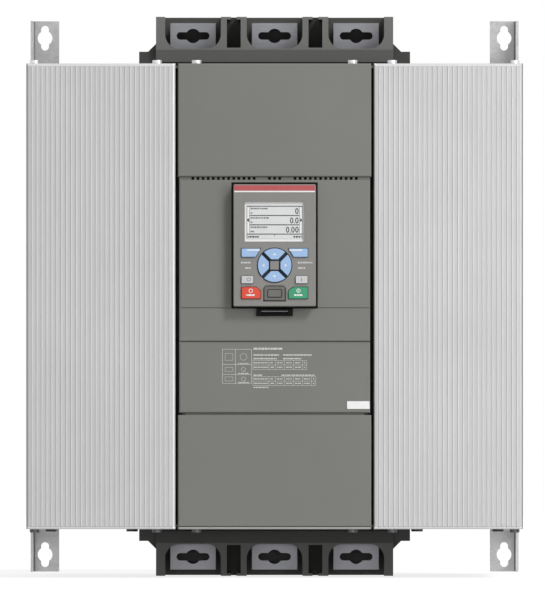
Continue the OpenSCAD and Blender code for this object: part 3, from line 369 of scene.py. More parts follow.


# Side covers: painted highlights on the ribs and on the rims at the inner edge and both ends, painted
# shade as a dark line at the outer edge

FOLD_DEPTH = 4.2
RIB_HEIGHT = 0.7
RIB_PAINTED_HIGHLIGHT = 1.26
INNER_RIM = 1.95
INNER_RIM_PAINTED_HIGHLIGHT = 1.4
OUTER_LINE = 0.8
OUTER_LINE_PAINTED_SHADE = 0.2
END_RIM = 1.8
TOP_RIM_PAINTED_HIGHLIGHT = 1.25
FOOT_RIM_PAINTED_HIGHLIGHT = 1.8


def shade_side_covers():
    metal = FINISH["side_cover_metal"]
    low, high = box_mm("right_side_cover")
    fold = ("y", low.y - PAST, low.y + FOLD_DEPTH)
    shade(metal, [("y", low.y - SKIN, low.y + RIB_HEIGHT - SKIN)], RIB_PAINTED_HIGHLIGHT)
    shade(metal, [("x", low.x - PAST, low.x + INNER_RIM), fold], INNER_RIM_PAINTED_HIGHLIGHT)
    shade(metal, [("x", high.x - OUTER_LINE, high.x + PAST), fold], OUTER_LINE_PAINTED_SHADE)
    shade(metal, [("z", high.z - END_RIM, high.z + PAST), fold], TOP_RIM_PAINTED_HIGHLIGHT)
    shade(metal, [("z", low.z - PAST, low.z + END_RIM), fold], FOOT_RIM_PAINTED_HIGHLIGHT)


# Ears of the mounting plate: painted shade as a dark line along the bend, on the plate's front

PLATE_T = 2.5
EAR_BEND_NEAR = 2.5
EAR_BEND_FAR = 3.8
EAR_BEND_PAINTED_SHADE = 0.4


def shade_ears():
    edge = box_mm("mounting_plate")[1].x
    bend = ("x", edge - EAR_BEND_FAR, edge - EAR_BEND_NEAR)
    front = ("y", -PLATE_T - SKIN, -PLATE_T + SKIN)
    shade(FINISH["galvanised_sheet"], [bend, front], EAR_BEND_PAINTED_SHADE)


# Terminal blocks: painted shade on the end flanges and in the slots and recesses, and a painted shadow in
# the gap between each block and the covers

BLOCK_FLANGE = 14.8
FLANGE_PAINTED_SHADE = 0.27
BLOCK_INSIDE = 14.0
BARRIER_SLOT = ("x", 29.9, 42.1)
SLOT_PAINTED_SHADE = 0.3
MIDDLE_RECESS = ("x", -PAST, 24.6)
END_RECESSES = ("x", 47.4, 96.6)
RECESS_PAINTED_SHADE = 0.5
GAP_DEPTH = 14.2
GAP_HEIGHT = 4.5
GAP_PAINTED_SHADOW = 0.15


def shade_terminal_blocks():
    plastic = FINISH["terminal_plastic"]
    low, high = box_mm("upper_terminal_block")
    flange = high.x - BLOCK_FLANGE
    inside = ("y", low.y + BLOCK_INSIDE, high.y + PAST)
    shade(plastic, [("x", flange, high.x + PAST)], FLANGE_PAINTED_SHADE)
    shade(plastic, [BARRIER_SLOT, inside], SLOT_PAINTED_SHADE)
    shade(plastic, [MIDDLE_RECESS, inside], RECESS_PAINTED_SHADE)
    shade(plastic, [END_RECESSES, inside], RECESS_PAINTED_SHADE)

    width = ("x", -PAST, flange)
    depth = ("y", low.y, low.y + GAP_DEPTH)
    upper_gap = ("z", low.z - PAST, low.z + GAP_HEIGHT)
    lower_gap = ("z", -low.z - GAP_HEIGHT, -low.z + PAST)
    for height in (upper_gap, lower_gap):
        shade(plastic, [width, depth, height], GAP_PAINTED_SHADOW)


# Painted shade on the screws of the lower side, and on the band behind the vents of the middle cover

LOWER_SCREWS_PAINTED_SHADE = 0.12
VENT_BAND = 2.3
VENT_BAND_PAINTED_SHADE = 0.72


def shade_screws_and_vents():
    shade(FINISH["screw_zinc"], [("z", cad_low.z / MM, 0)], LOWER_SCREWS_PAINTED_SHADE)
    top = box_mm("middle_cover")[1].z
    shade(FINISH["cover_plastic"], [("z", top - VENT_BAND, top + SKIN)], VENT_BAND_PAINTED_SHADE)


# Keypad: painted shade in the wells and on the sunk flanks of the keys, and round the flap and its finger
# tab

WELL_TOP = 0.2
WELL_FLOOR = 10.0
WELLS_WIDE = ("x", -PAST, 33.0)
WELLS_HIGH = ("z", -6.0, 44.5)
SUNK_PAINTED_SHADE = 0.3
FLAP_PIN = 1.5
FLAP_RIM = 1.0
FLAP_FLANK_PAINTED_SHADE = 0.15
FLAP_RIM_PAINTED_SHADE = 0.4
FLAP_HEAD_PAINTED_SHADE = 0.6
TAB_HALF_W = 6.0
TAB_HALF_H = 3.2
TAB_RIM = 0.6
TAB_SIDES_PAINTED_SHADE = 0.6
TAB_FOOT_PAINTED_SHADE = 0.5


def shade_keypad():
    sunk = ("y", KEYPAD_FACE + WELL_TOP, KEYPAD_FACE + WELL_FLOOR)
    for slot in ("key_blue", "key_grey", "key_red", "key_green"):
        shade(FINISH[slot], [sunk], SUNK_PAINTED_SHADE)
    shade(FINISH["keypad_plastic"], [WELLS_WIDE, WELLS_HIGH, sunk], SUNK_PAINTED_SHADE)


# Painted shade on the flap's sunk flanks and its rim at the sides, top and foot, and along the sides and
# foot of its finger tab
def shade_flap():
    plastic = FINISH["flap_plastic"]
    low, high = box_mm("usb_flap")
    shade(plastic, [("y", KEYPAD_FACE + WELL_TOP, high.y - SKIN)], FLAP_FLANK_PAINTED_SHADE)
    front = ("y", low.y - PAST, KEYPAD_FACE + WELL_TOP)
    shade(plastic, [("x", high.x - FLAP_PIN - FLAP_RIM, high.x), front], FLAP_RIM_PAINTED_SHADE)
    shade(plastic, [("z", high.z - FLAP_RIM, high.z + PAST), front], FLAP_HEAD_PAINTED_SHADE)
    shade(plastic, [("z", low.z - PAST, low.z + FLAP_RIM), front], FLAP_RIM_PAINTED_SHADE)

    proud = ("y", low.y - PAST, KEYPAD_FACE - WELL_TOP)
    foot = (low.z + high.z) / 2 - TAB_HALF_H
    width = ("x", -PAST, TAB_HALF_W + SKIN)
    shade(plastic, [("x", TAB_HALF_W - TAB_RIM, TAB_HALF_W + SKIN), proud], TAB_SIDES_PAINTED_SHADE)
    shade(plastic, [width, ("z", foot - SKIN, foot + TAB_RIM), proud], TAB_FOOT_PAINTED_SHADE)


def dress_solids():
    """Gives each solid the finish of its slot."""
    for part in frame["record"]["subparts"]:
        target = nodes[part["node"]].data.materials
        target.clear()
        target.append(FINISH[part["material_slot"]])


shade_side_covers()
shade_ears()
shade_terminal_blocks()
shade_screws_and_vents()
shade_keypad()
shade_flap()
dress_solids()


# Edges of the solids, broken as on a moulded or bent part

WELD_REACH = 0.002
SHARP_DEGREES = 35
ARROW_KEYS = ["up_key", "left_key", "down_key", "right_key"]
OTHER_KEYS = ["left_soft_key", "right_soft_key", "local_key", "info_key", "stop_key", "start_key"]


def broken_edges(names, width, segments=2):
    """Joins the split corners of each solid, then bevels its sharp edges."""
    for name in names:
        thing = nodes[name]
        weld = thing.modifiers.new("joined", "WELD")
        weld.merge_threshold = WELD_REACH * MM
        bevel = thing.modifiers.new("broken_edges", "BEVEL")
        bevel.width = width * MM
        bevel.segments = segments
        bevel.limit_method = "ANGLE"
        bevel.angle_limit = math.radians(SHARP_DEGREES)
        bevel.use_clamp_overlap = True
        bevel.harden_normals = True


broken_edges(["upper_terminal_block", "lower_terminal_block"], width=0.5)
broken_edges(ARROW_KEYS + OTHER_KEYS, width=0.35)
broken_edges(["keypad_holder", "keypad_latch", "usb_flap"], width=0.25)
broken_edges(["keypad_front", "keypad_rear"], width=0.3)
broken_edges(["fan_rivets"], width=0.8, segments=3)
broken_edges(["mounting_plate", "left_air_outlet", "right_air_outlet"], width=0.2, segments=1)


# Flat outlines for the printed pieces, as lists of (x, z) in millimetres

ARROW_FOOT = 0.55
ARROW_TIP = 0.75
SHORTEST_BAR = 1.0
BAR_STEP = 0.55
BAR_LENGTHS = 5
LEAST_REST = 0.4
SEED_TIMES = 73
SEED_PLUS = 41
SEED_RANGE = 101


def bar(x0, x1, z0, z1):
    """A rectangle."""
    return [(x0, z0), (x1, z0), (x1, z1), (x0, z1)]


def round_bar(x0, x1, z0, z1, r, steps=5):
    """A rectangle with round corners."""
    corners = ((x1 - r, z0 + r, -90), (x1 - r, z1 - r, 0), (x0 + r, z1 - r, 90), (x0 + r, z0 + r, 180))
    points = []
    for cx, cz, start in corners:
        for i in range(steps + 1):
            a = math.radians(start + 90 * i / steps)
            points.append((cx + r * math.cos(a), cz + r * math.sin(a)))
    return points


def turned(points, cx, cz, degrees):
    """An outline turned about its own origin and set down at a centre."""
    c = math.cos(math.radians(degrees))
    s = math.sin(math.radians(degrees))
    return [(cx + x * c - z * s, cz + x * s + z * c) for x, z in points]


def arrow(cx, cz, size, degrees):
    """A small solid triangle, pointing up before it is turned."""
    foot = -size * ARROW_FOOT
    return turned([(-size, foot), (size, foot), (0, size * ARROW_TIP)], cx, cz, degrees)


def ring(cx, cz, rx, rz, width, steps=28):
    """A closed band, as a chain of short pieces."""
    parts = []
    for i in range(steps):
        a = 2 * math.pi * i / steps
        b = 2 * math.pi * (i + 1) / steps
        corners = ((a, 0), (b, 0), (b, width), (a, width))
        parts.append([(cx + (rx - w) * math.cos(t), cz + (rz - w) * math.sin(t)) for t, w in corners])
    return parts


def frame_lines(x0, x1, z0, z1, width):
    """The four sides of a rectangle."""
    sides = [bar(x0, x1, z0, z0 + width), bar(x0, x1, z1 - width, z1)]
    return sides + [bar(x, x + width, z0 + width, z1 - width) for x in (x0, x1 - width)]


def words(x0, x1, z, height, seed, gap):
    """A line of print at reading distance: short bars of uneven length, no letters."""
    x = x0
    parts = []
    while x < x1 - LEAST_REST:
        seed = (seed * SEED_TIMES + SEED_PLUS) % SEED_RANGE
        run = min(SHORTEST_BAR + seed % BAR_LENGTHS * BAR_STEP, x1 - x)
        parts.append(bar(x, x + run, z - height / 2, z + height / 2))
        x += run + gap
    return parts


def grid(xs, zs, weight):
    """The ruled lines of a table, from the places of its lines."""
    parts = [bar(xs[0], xs[-1], z - weight / 2, z + weight / 2) for z in zs]
    levels = sorted(zs)
    for x in xs:
        for low, high in zip(levels, levels[1:]):
            parts.append(bar(x - weight / 2, x + weight / 2, low + weight / 2, high - weight / 2))
    return parts


# Pieces that the scene adds to the solids


def add_piece(name, mesh, body, material):
    """Puts a finished mesh in the scene, on a body and with a material."""
    bm = bmesh.new()
    bm.from_mesh(mesh)
    bmesh.ops.recalc_face_normals(bm, faces=bm.faces)
    bm.to_mesh(mesh)
    bm.free()
    mesh.materials.append(material)
    piece = bpy.data.objects.new(name, mesh)
    bpy.context.scene.collection.objects.link(piece)
    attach(piece, body)


def prisms(name, outlines, face, thickness, body, material):
    """One piece of flat prisms that stand on a face, towards the front."""
    mesh = bpy.data.meshes.new(name)
    points = []
    faces = []
    for outline in outlines:
        first = len(points)
        n = len(outline)
        points += [(x * MM, (face - thickness) * MM, z * MM) for x, z in outline]
        points += [(x * MM, face * MM, z * MM) for x, z in outline]
        faces.append([first + i for i in range(n)])
        faces.append([first + n + i for i in reversed(range(n))])
        for i in range(n):
            j = (i + 1) % n
            faces.append([first + j, first + i, first + n + i, first + n + j])
    mesh.from_pydata(points, [], faces)
    add_piece(name, mesh, body, material)


def strip(name, profile, x0, x1, body, material):
    """A strip along X with a profile of (y, z) in millimetres."""
    mesh = bpy.data.meshes.new(name)
    n = len(profile)
    points = [(x * MM, y * MM, z * MM) for x in (x0, x1) for y, z in profile]
    faces = [tuple(range(n)), tuple(range(2 * n - 1, n - 1, -1))]
    faces += [((i + 1) % n, i, n + i, n + (i + 1) % n) for i in range(n)]
    mesh.from_pydata(points, [], faces)
    add_piece(name, mesh, body, material)


# Display: pale rows between ruled lines, captions, plain numbers and a menu strip

window_low, window_high = box_mm("display_window")
SCREEN_Z = (window_low.z + window_high.z) / 2
SCREEN_HALF = 24.5
FIELD_HALF = 22.0
FIRST_ROW = 13.6
ROW_H = 8.15
ROW_TOPS = [SCREEN_Z + FIRST_ROW - i * ROW_H for i in range(3)]
MENU_TOP = ROW_TOPS[-1] - ROW_H
MENU_H = 4.1
RULE = 0.9
THIN_RULE = 0.45
HAIR_RULE = 0.25
FIELD_T = 0.04
LINE_T = 0.05
NUMBER_T = 0.06

CAPTION_X = -21.0
CAPTION_ENDS = (-5.4, -4.8, -6.4)
CAPTION_DROP = 2.1
CAPTION_H = 1.3
UNIT_ENDS = (-19.4, -19.4, -18.0)
UNIT_DROP = 5.9
UNIT_H = 1.2
MENU_TICK = 2.2
MENU_LEFT = (-23.6, -13.8)
MENU_RIGHT = (16.4, 23.6)
MENU_DROP = 2.3
MENU_WORD_H = 1.5

DIGIT_X = 19.5
DIGIT_STEP = 3.5
DIGIT_DROP = 4.3
ZERO_HALF_W = 1.55
ZERO_HALF_H = 2.65
ZERO_STROKE = 0.95
POINT_STEP = 1.1
POINT_X = (-2.7, -1.9)
POINT_Z = (-2.6, -1.7)
SIDE_ARROW_X = 23.3
SIDE_ARROW = 1.8


def on_display(name, outlines, thickness, paint):
    """Prints outlines on the face of the display."""
    prisms(name, outlines, DISPLAY_FACE, thickness, "keypad", paint)


def beside_rows(x):
    """An upright thin line along the three rows."""
    return bar(x, x + THIN_RULE, MENU_TOP + RULE / 2, ROW_TOPS[0] - RULE / 2)


def reading(top, count, decimals):
    """Zeros of one reading, set from the right, with a decimal point before the last ones."""
    z = top - DIGIT_DROP
    parts = []
    for i in range(count):
        x = DIGIT_X - i * DIGIT_STEP - (POINT_STEP if decimals and i >= decimals else 0)
        parts += ring(x, z, ZERO_HALF_W, ZERO_HALF_H, ZERO_STROKE, steps=20)
        if i + 1 == decimals:
            parts.append(bar(x + POINT_X[0], x + POINT_X[1], z + POINT_Z[0], z + POINT_Z[1]))
    return parts


def display_fields():
    fields = [bar(-FIELD_HALF, FIELD_HALF, top - ROW_H + RULE / 2, top - RULE / 2) for top in ROW_TOPS]
    fields.append(bar(-SCREEN_HALF, SCREEN_HALF, MENU_TOP - MENU_H, MENU_TOP - RULE / 2))
    on_display("display_fields", fields, FIELD_T, FIELD_GREY)


def display_frame():
    lines = []
    for z in [*ROW_TOPS, MENU_TOP]:
        half = SCREEN_HALF if z in (ROW_TOPS[0], MENU_TOP) else FIELD_HALF
        lines.append(bar(-half, half, z - RULE / 2, z + RULE / 2))
    for x in (-SCREEN_HALF, SCREEN_HALF - THIN_RULE):
        lines.append(beside_rows(x))
        lines.append(bar(x, x + THIN_RULE, MENU_TOP - MENU_H, MENU_TOP - RULE / 2))
    on_display("display_frame", lines, LINE_T, INK_DARK)


def display_margins():
    marks = [beside_rows(x) for x in (-FIELD_HALF, FIELD_HALF - THIN_RULE)]
    for i, top in enumerate(ROW_TOPS):
        marks += words(CAPTION_X, CAPTION_ENDS[i], top - CAPTION_DROP, CAPTION_H, seed=3 + 2 * i, gap=0.35)
        marks += words(CAPTION_X, UNIT_ENDS[i], top - UNIT_DROP, UNIT_H, seed=8, gap=0.4)
    marks.append(bar(-HAIR_RULE, HAIR_RULE, MENU_TOP - MENU_TICK, MENU_TOP - RULE / 2))
    foot = MENU_TOP - MENU_H
    marks.append(bar(-SCREEN_HALF, SCREEN_HALF, foot - HAIR_RULE, foot))
    on_display("display_margins", marks, LINE_T, INK_GREY)


def display_numbers():
    numbers = reading(ROW_TOPS[0], count=1, decimals=0)
    numbers += reading(ROW_TOPS[1], count=2, decimals=1)
    numbers += reading(ROW_TOPS[2], count=3, decimals=2)
    middle = ROW_TOPS[1] - ROW_H / 2
    numbers.append(arrow(-SIDE_ARROW_X, middle, SIDE_ARROW, degrees=90))
    numbers.append(arrow(SIDE_ARROW_X, middle, SIDE_ARROW, degrees=-90))
    menu_z = MENU_TOP - MENU_DROP
    numbers += words(*MENU_LEFT, menu_z, MENU_WORD_H, seed=6, gap=0.4)
    numbers += words(*MENU_RIGHT, menu_z, MENU_WORD_H, seed=2, gap=0.4)
    on_display("display_numbers", numbers, NUMBER_T, INK_DARK)


# Keypad trim: stripe and line along the top, two rows of marks beside the arrow keys

PAD_Z = (box_mm("up_key")[0].z + box_mm("down_key")[1].z) / 2
keypad_high = box_mm("keypad_front")[1]
TRIM_HALF = keypad_high.x - 0.8
STRIPE = (keypad_high.z - 5.55, keypad_high.z - 0.85)
LINE = (keypad_high.z - 6.95, keypad_high.z - 5.7)
TRIM_T = 0.12
STATUS_ROWS = (PAD_Z + 2.3, PAD_Z - 2.4)
STATUS_LEFT = ((-29.5, -21.0), (-25.8, -21.0))
STATUS_RIGHT = ((20.3, 33.1), (20.5, 26.8))
STATUS_H = 1.3
STATUS_T = 0.05


def on_keypad(name, outlines, thickness, paint):
    """Prints outlines on the front of the keypad."""
    prisms(name, outlines, KEYPAD_FACE, thickness, "keypad", paint)


def keypad_trim():
    on_keypad("red_stripe", [bar(-TRIM_HALF, TRIM_HALF, *STRIPE)], TRIM_T, STRIPE_RED)
    on_keypad("white_line", [bar(-TRIM_HALF, TRIM_HALF, *LINE)], TRIM_T, INK_BRIGHT)
    marks = []
    for i, z in enumerate(STATUS_ROWS):
        marks += words(*STATUS_LEFT[i], z, STATUS_H, seed=7 + 5 * i, gap=0.45)
        marks += words(*STATUS_RIGHT[i], z, STATUS_H, seed=5 + 16 * i, gap=0.45)
    on_keypad("status_marks", marks, STATUS_T, INK_WHITE)


# Painted shade in the gaps round the arrow keys: a near black sheet at the bottom of the well, as a rim,
# four spokes and a square

WELL_DEPTH = 1.2
WELL_R = 15.45
SHADE_RIM = 0.4
SHADE_T = 0.08
SPOKE_START = 5.6
SPOKE_END = WELL_R - 0.45
SPOKE_HALF = 1.15
SQUARE_HALF = 3.6
SQUARE_Z = (3.85, 4.8)


def arrow_pad_shade():
    spoke = bar(SPOKE_START, SPOKE_END, -SPOKE_HALF, SPOKE_HALF)
    spokes = [turned(spoke, 0, PAD_Z, a) for a in (45, 135, 225, 315)]
    side = bar(-SQUARE_HALF, SQUARE_HALF, *SQUARE_Z)
    square = [turned(side, 0, PAD_Z, a) for a in (0, 90, 180, 270)]
    rim = ring(0, PAD_Z, WELL_R, WELL_R, SHADE_RIM, steps=64)
    shade_face = KEYPAD_FACE + WELL_DEPTH
    prisms("arrow_pad_shade", spokes + square + rim, shade_face, SHADE_T, "keypad", PAD_GAP_SHADE)


# Pale line in the finger grip of the latch

latch_top = box_mm("keypad_latch")[1].z
LATCH_LINE_HALF = 11.6
LATCH_LINE_Z = (latch_top - 2.6, latch_top - 1.7)
LATCH_LINE_T = 0.06
GRIP_DEPTH = 0.3


def latch_line():
    line = bar(-LATCH_LINE_HALF, LATCH_LINE_HALF, *LATCH_LINE_Z)
    grip = LATCH_FACE + GRIP_DEPTH
    prisms("latch_line", [line], grip, LATCH_LINE_T, "latch", GRIP_GREY)


# Marks on the keys, each on its own key and placed from the key's box

KEY_MARK_T = 0.06
ARROW_MARK_R = 9.7
ARROW_MARK = 1.4
SOFT_HIGHLIGHT_FROM_END = (5.5, 16.9)
SOFT_HIGHLIGHT_FROM_TOP = (1.65, 2.85)
COMMAND_OUT = 0.3
COMMAND_RISE = 1.9
COMMAND_R = 1.8
COMMAND_STROKE = 0.55
COMMAND_WORD_H = 1.5
COMMAND_WORD_HALF = 3.8
START_BAR_HALF_W = 0.25
START_BAR_HALF_H = 0.8
LOCAL_IN = 1.15
LOCAL_HALF_W = 1.9
LOCAL_HALF_H = 1.5
LOCAL_STROKE = 0.45
INFO_IN = 0.25
INFO_HALF_W = 0.3
INFO_STEM = (-1.6, 0.5)
INFO_DOT = (1.0, 1.6)


def key_mark(key, outlines, paint):
    """Prints outlines on a key, on the body of that key."""
    prisms(key + "_mark", outlines, KEY_FACE, KEY_MARK_T, key + "_body", paint)


def arrow_marks():
    for key, degrees in zip(ARROW_KEYS, (0, 90, 180, 270)):
        x = -ARROW_MARK_R * math.sin(math.radians(degrees))
        z = ARROW_MARK_R * math.cos(math.radians(degrees))
        key_mark(key, [arrow(x, PAD_Z + z, ARROW_MARK, degrees)], INK_BRIGHT)


# Painted highlight along the top of each soft key, drawn as a pale bar on the key
def soft_key_highlights():
    end = box_mm("right_soft_key")[1]
    far, near = [end.x - inset for inset in SOFT_HIGHLIGHT_FROM_END]
    top, foot = [end.z - drop for drop in SOFT_HIGHLIGHT_FROM_TOP]
    key_mark("left_soft_key", [bar(-far, -near, foot, top)], INK_BRIGHT)
    key_mark("right_soft_key", [bar(near, far, foot, top)], INK_BRIGHT)


def command_mark(x, z, seed):
    """A ring over a line of bars."""
    circle = ring(x, z + COMMAND_RISE, COMMAND_R, COMMAND_R, COMMAND_STROKE)
    left = x - COMMAND_WORD_HALF
    right = x + COMMAND_WORD_HALF
    return circle + words(left, right, z - COMMAND_RISE, COMMAND_WORD_H, seed, gap=0.45)


def command_marks():
    stop_x, stop_z = middle_mm("stop_key")
    key_mark("stop_key", command_mark(stop_x - COMMAND_OUT, stop_z, seed=4), INK_BRIGHT)

    start_x, start_z = middle_mm("start_key")
    x = start_x + COMMAND_OUT
    z = start_z + COMMAND_RISE
    upright = bar(x - START_BAR_HALF_W, x + START_BAR_HALF_W, z - START_BAR_HALF_H, z + START_BAR_HALF_H)
    key_mark("start_key", command_mark(x, start_z, seed=9) + [upright], INK_BRIGHT)


def small_key_marks():
    local_x, local_z = middle_mm("local_key")
    loop = ring(local_x + LOCAL_IN, local_z, LOCAL_HALF_W, LOCAL_HALF_H, LOCAL_STROKE)
    key_mark("local_key", loop, INK_GREY)

    info_x, info_z = middle_mm("info_key")
    left = info_x - INFO_IN - INFO_HALF_W
    right = info_x - INFO_IN + INFO_HALF_W
    stem = bar(left, right, info_z + INFO_STEM[0], info_z + INFO_STEM[1])
    dot = bar(left, right, info_z + INFO_DOT[0], info_z + INFO_DOT[1])
    key_mark("info_key", [stem, dot], INK_GREY)


# Rating print: a box of plain symbols, two tables and lines of bars, set down from the cover's top

label_low, label_high = box_mm("label_cover")
DIAGRAM_COLUMNS = (-45.7, -34.3, -20.2)
DIAGRAM_ROWS = [label_high.z - drop for drop in (6.3, 19.6, 28.3, 36.2)]
DIAGRAM_RULE = 0.34
SYMBOL_RADII = (3.1, 1.9, 1.9)
SYMBOL_STROKE = 0.3
SYMBOL_FRAME = 0.26
SYMBOL_MARGIN = 2.2
SYMBOL_WORD_HALF = 4.6
SYMBOL_WORD_RISE = 0.9
SYMBOL_WORD_H = 0.8

TABLE_X = -19.0
LABEL_W = 14.1
UNIT_W = 5.6
VALUE_W = 7.9
END_W = 3.8
TABLE_ROW = 3.9
TABLE_RULE = 0.28
TABLE_WORD_H = 0.9
LABEL_MARGIN = 0.7
VALUE_MARGIN = 1.3
# How far down each table starts, and how many columns of values it has
TABLES = ((16.2, 3), (30.3, 4))

# Left end, right end, how far down and height of each line
HEADINGS = (
    (-18.5, 6.8, 5.8, 1.8),
    (-18.5, 3.9, 11.3, 1.2),
    (7.4, 32.3, 11.3, 1.2),
    (-18.5, 2.6, 14.5, 1.2),
    (7.4, 23.3, 14.5, 1.2),
    (-18.5, -11.0, 29.0, 1.1),
    (6.0, 35.1, 29.0, 1.0),
    (-18.5, -5.3, 39.7, 1.0),
)
RULES_T = 0.05
LINES_T = 0.06


def on_cover(name, outlines, thickness, paint):
    """Prints or sticks outlines on the front of the label cover."""
    prisms(name, outlines, COVER_FACE, thickness, "enclosure", paint)


def table_columns(values):
    """Places of a table's upright lines: a label, a unit, the values and a narrow end."""
    columns = [TABLE_X, TABLE_X + LABEL_W, TABLE_X + LABEL_W + UNIT_W]
    for _ in range(values):
        columns.append(columns[-1] + VALUE_W)
    return columns + [columns[-1] + END_W]


def table_words(top, columns):
    lines = []
    for row in (0.5, 1.5):
        z = top - row * TABLE_ROW
        label_ends = (columns[0] + LABEL_MARGIN, columns[1] - LABEL_MARGIN)
        lines += words(*label_ends, z, TABLE_WORD_H, seed=int(20 * row), gap=0.4)
        for left, right in zip(columns[1:], columns[2:]):
            seed = int(abs(left) + 10 * row)
            lines += words(left + VALUE_MARGIN, right - VALUE_MARGIN, z, TABLE_WORD_H, seed, gap=0.5)
    return lines


def diagram_symbols():
    """In each row a frame on the left, and on the right a ring over a line of bars."""
    lines = []
    left, middle, right = DIAGRAM_COLUMNS
    cx = (middle + right) / 2
    for high, low, r in zip(DIAGRAM_ROWS, DIAGRAM_ROWS[1:], SYMBOL_RADII):
        cz = (high + low) / 2
        lines += ring(cx, cz, r, r, SYMBOL_STROKE)
        word_ends = (cx - SYMBOL_WORD_HALF, cx + SYMBOL_WORD_HALF)
        lines += words(*word_ends, low + SYMBOL_WORD_RISE, SYMBOL_WORD_H, seed=int(abs(low)), gap=0.5)
        lines += frame_lines(left + SYMBOL_MARGIN, middle - SYMBOL_MARGIN, cz - r, cz + r, SYMBOL_FRAME)
    return lines


def rating_print():
    rules = grid(DIAGRAM_COLUMNS, DIAGRAM_ROWS, DIAGRAM_RULE)
    lines = []
    for x0, x1, drop, height in HEADINGS:
        z = label_high.z - drop
        lines += words(x0, x1, z, height, seed=int(abs(z)), gap=0.4)
    for drop, values in TABLES:
        top = label_high.z - drop
        columns = table_columns(values)
        rules += grid(columns, [top, top - TABLE_ROW, top - 2 * TABLE_ROW], TABLE_RULE)
        lines += table_words(top, columns)
    lines += diagram_symbols()
    on_cover("rating_rules", rules, RULES_T, INK_WHITE)
    on_cover("rating_lines", lines, LINES_T, INK_WHITE)


# Blank sticker, with a painted shadow along its left and lower edge

STICKER_W = 19.8
STICKER_H = 6.8
STICKER_INSET = 0.45
STICKER_RISE = 3.5
STICKER_CORNER = 0.3
STICKER_T = 0.14
EDGE_LEFT = 0.5
EDGE_FOOT = 0.4
EDGE_INSET = 0.1
EDGE_END = 0.2
EDGE_T = 0.05


def sticker():
    x1 = label_high.x - STICKER_INSET
    x0 = x1 - STICKER_W
    z0 = label_low.z + STICKER_RISE
    z1 = z0 + STICKER_H
    on_cover("blank_sticker", [round_bar(x0, x1, z0, z1, STICKER_CORNER)], STICKER_T, PAPER)
    left_shadow = bar(x0 - EDGE_LEFT, x0 - EDGE_INSET, z0 - EDGE_FOOT, z1 - EDGE_INSET)
    foot_shadow = bar(x0 - EDGE_INSET, x1 - EDGE_END, z0 - EDGE_FOOT, z0 - EDGE_INSET)
    on_cover("sticker_shadow", [left_shadow, foot_shadow], EDGE_T, INK_DARK)


# Painted highlight along the foot of the lower cover: a pale strip round its bend

FOOT_INSET = 0.65
FOOT_H = 0.55
FOOT_R = 1.0
FOOT_T = 0.1
FOOT_DROP = 0.05


def foot_highlight():
    cover_low, cover_high = box_mm("lower_cover")
    half = cover_high.x - FOOT_INSET
    face = cover_low.y
    bend = cover_low.z + FOOT_R
    profile = [
        (face, bend + FOOT_H),
        (face, bend),
        (face + FOOT_R, bend - FOOT_R),
        (face + FOOT_R - FOOT_T, bend - FOOT_R - FOOT_DROP),
        (face - FOOT_T, bend - FOOT_DROP),
        (face - FOOT_T, bend + FOOT_H),
    ]
    strip("foot_highlight", profile, -half, half, "enclosure", FOOT_HIGHLIGHT_PALE)


display_fields()
display_frame()
display_margins()
display_numbers()
keypad_trim()
arrow_pad_shade()
latch_line()
arrow_marks()
soft_key_highlights()
command_marks()
small_key_marks()
rating_print()
sticker()
foot_highlight()


# Floor and world, in metres

FLOOR_HALF = 6.0
FLOOR_GAP = 0.0005
FLOOR_DULL = (0.29, 0.29, 0.29)
FLOOR_PALE = (0.31, 0.31, 0.31)
FLOOR_GLOW = 0.8
WORLD_FILL = 0.45


def seen_rays(tree):
    """1 for rays that show a surface to the camera, in a mirror or through glass, else 0."""
    path = tree.nodes.new("ShaderNodeLightPath")
    most = calculate(tree, "MAXIMUM", path.outputs["Is Camera Ray"], path.outputs["Is Glossy Ray"])
    return calculate(tree, "MAXIMUM", most, path.outputs["Is Transmission Ray"])


def choice(tree, factor, first, second):
    """The first shader where the factor is 0, the second where it is 1."""
    node = tree.nodes.new("ShaderNodeMixShader")
    tree.links.new(factor, node.inputs["Fac"])
    tree.links.new(first, node.inputs[1])
    tree.links.new(second, node.inputs[2])
    return node.outputs[0]


def floor_material():
    """Pale where it is seen or mirrored, darker as a source of bounced light, and open from below."""
    mat, tree, bsdf = shader("floor_pale", roughness=0.8, specular=0.0)
    fine = noise(tree, coordinates(tree), scale=3.0)
    tree.links.new(tint(tree, spread(tree, fine), FLOOR_DULL, FLOOR_PALE), bsdf.inputs["Base Color"])
    glow = tree.nodes.new("ShaderNodeEmission")
    glow.inputs["Strength"].default_value = FLOOR_GLOW
    pale = tree.nodes.new("ShaderNodeAddShader")
    tree.links.new(glow.outputs[0], pale.inputs[0])
    tree.links.new(bsdf.outputs[0], pale.inputs[1])
    upper = choice(tree, seen_rays(tree), bsdf.outputs[0], pale.outputs[0])
    geometry = tree.nodes.new("ShaderNodeNewGeometry")
    nothing = tree.nodes.new("ShaderNodeBsdfTransparent")
    surface = choice(tree, geometry.outputs["Backfacing"], upper, nothing.outputs[0])
    tree.links.new(surface, tree.nodes["Material Output"].inputs["Surface"])
    return mat


def stage_floor():
    half = FLOOR_HALF
    height = cad_low.z - FLOOR_GAP
    mesh = bpy.data.meshes.new("floor")
    corners = [(-half, -half, height), (half, -half, height), (half, half, height), (-half, half, height)]
    mesh.from_pydata(corners, [], [(0, 1, 2, 3)])
    mesh.materials.append(floor_material())
    floor = bpy.data.objects.new("floor", mesh)
    bpy.context.scene.collection.objects.link(floor)


def white_world():
    """White where it is seen or mirrored, and a plain fill for the rest."""
    world = bpy.data.worlds.new("studio")
    bpy.context.scene.world = world
    world.use_nodes = True
    tree = world.node_tree
    back = tree.nodes["Background"]
    back.inputs["Color"].default_value = (*WHITE, 1)
    level = spread(tree, seen_rays(tree), WORLD_FILL, 1.0, FULL_SPAN)
    tree.links.new(level, back.inputs["Strength"])


# Lamps: places in metres, angles in degrees


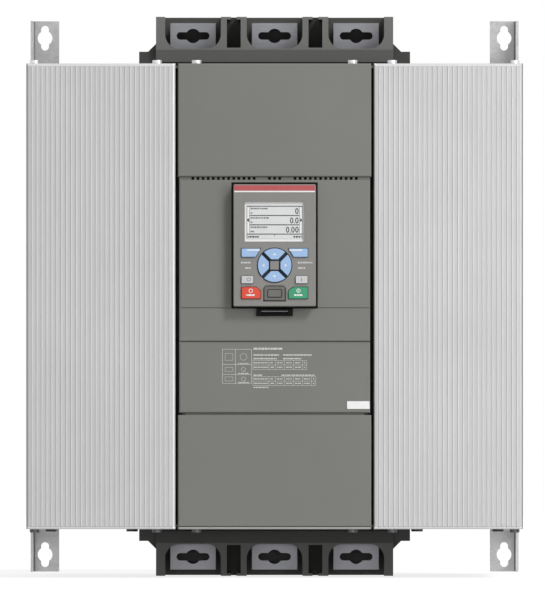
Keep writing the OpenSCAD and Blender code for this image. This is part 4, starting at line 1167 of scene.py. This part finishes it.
def add_lamp(data, place, towards):
    """A lamp at a place that shines towards a direction."""
    lamp = bpy.data.objects.new(data.name, data)
    lamp.location = place
    lamp.rotation_mode = "QUATERNION"
    lamp.rotation_quaternion = Vector(towards).to_track_quat("-Z", "Y")
    bpy.context.scene.collection.objects.link(lamp)


def sun_light(name, azimuth, elevation, strength, disc):
    """A soft sun; azimuth 0 shines from the front and turns to the right."""
    data = bpy.data.lights.new(name, "SUN")
    data.energy = strength
    data.angle = math.radians(disc)
    a = math.radians(azimuth)
    e = math.radians(elevation)
    add_lamp(data, (0, 0, 0), (-math.sin(a) * math.cos(e), math.cos(a) * math.cos(e), -math.sin(e)))


def area_light(name, place, aim, width, height, power):
    """A rectangular lamp at a place, aimed at a point."""
    data = bpy.data.lights.new(name, "AREA")
    data.shape = "RECTANGLE"
    data.size = width
    data.size_y = height
    data.energy = power
    add_lamp(data, place, Vector(aim) - Vector(place))


stage_floor()
white_world()
sun_light("key_light", azimuth=38, elevation=42, strength=1.62, disc=14)
area_light("low_front_light", place=(0.3, -3.0, -0.14), aim=(0.3, 0, -0.14),
           width=3.0, height=0.18, power=6)
area_light("right_light", place=(0.75, -1.15, 0.25), aim=(0, -0.3, 0),
           width=0.4, height=0.8, power=4)


# Camera: square to the front and far off; the picture's height is matched at the depth of the covers

LENS = 1500.0
SENSOR = 36.0
FRAME_HEIGHT = 525.8 * MM
MATCHED_DEPTH = -360.0 * MM
CENTRE_X = -1.84 * MM
CENTRE_Z = -3.23 * MM
CLIP_NEAR = 1.0
CLIP_FAR = 60.0

camera_data = bpy.data.cameras.new("camera")
camera_data.lens = LENS
camera_data.sensor_width = SENSOR
camera_data.clip_start = CLIP_NEAR
camera_data.clip_end = CLIP_FAR
camera = bpy.data.objects.new("camera", camera_data)
camera.location = (CENTRE_X, MATCHED_DEPTH - FRAME_HEIGHT * LENS / SENSOR, CENTRE_Z)
camera.rotation_euler = (math.radians(90), 0, 0)
bpy.context.scene.collection.objects.link(camera)
bpy.context.scene.camera = camera

bpy.context.scene.view_settings.view_transform = "Standard"
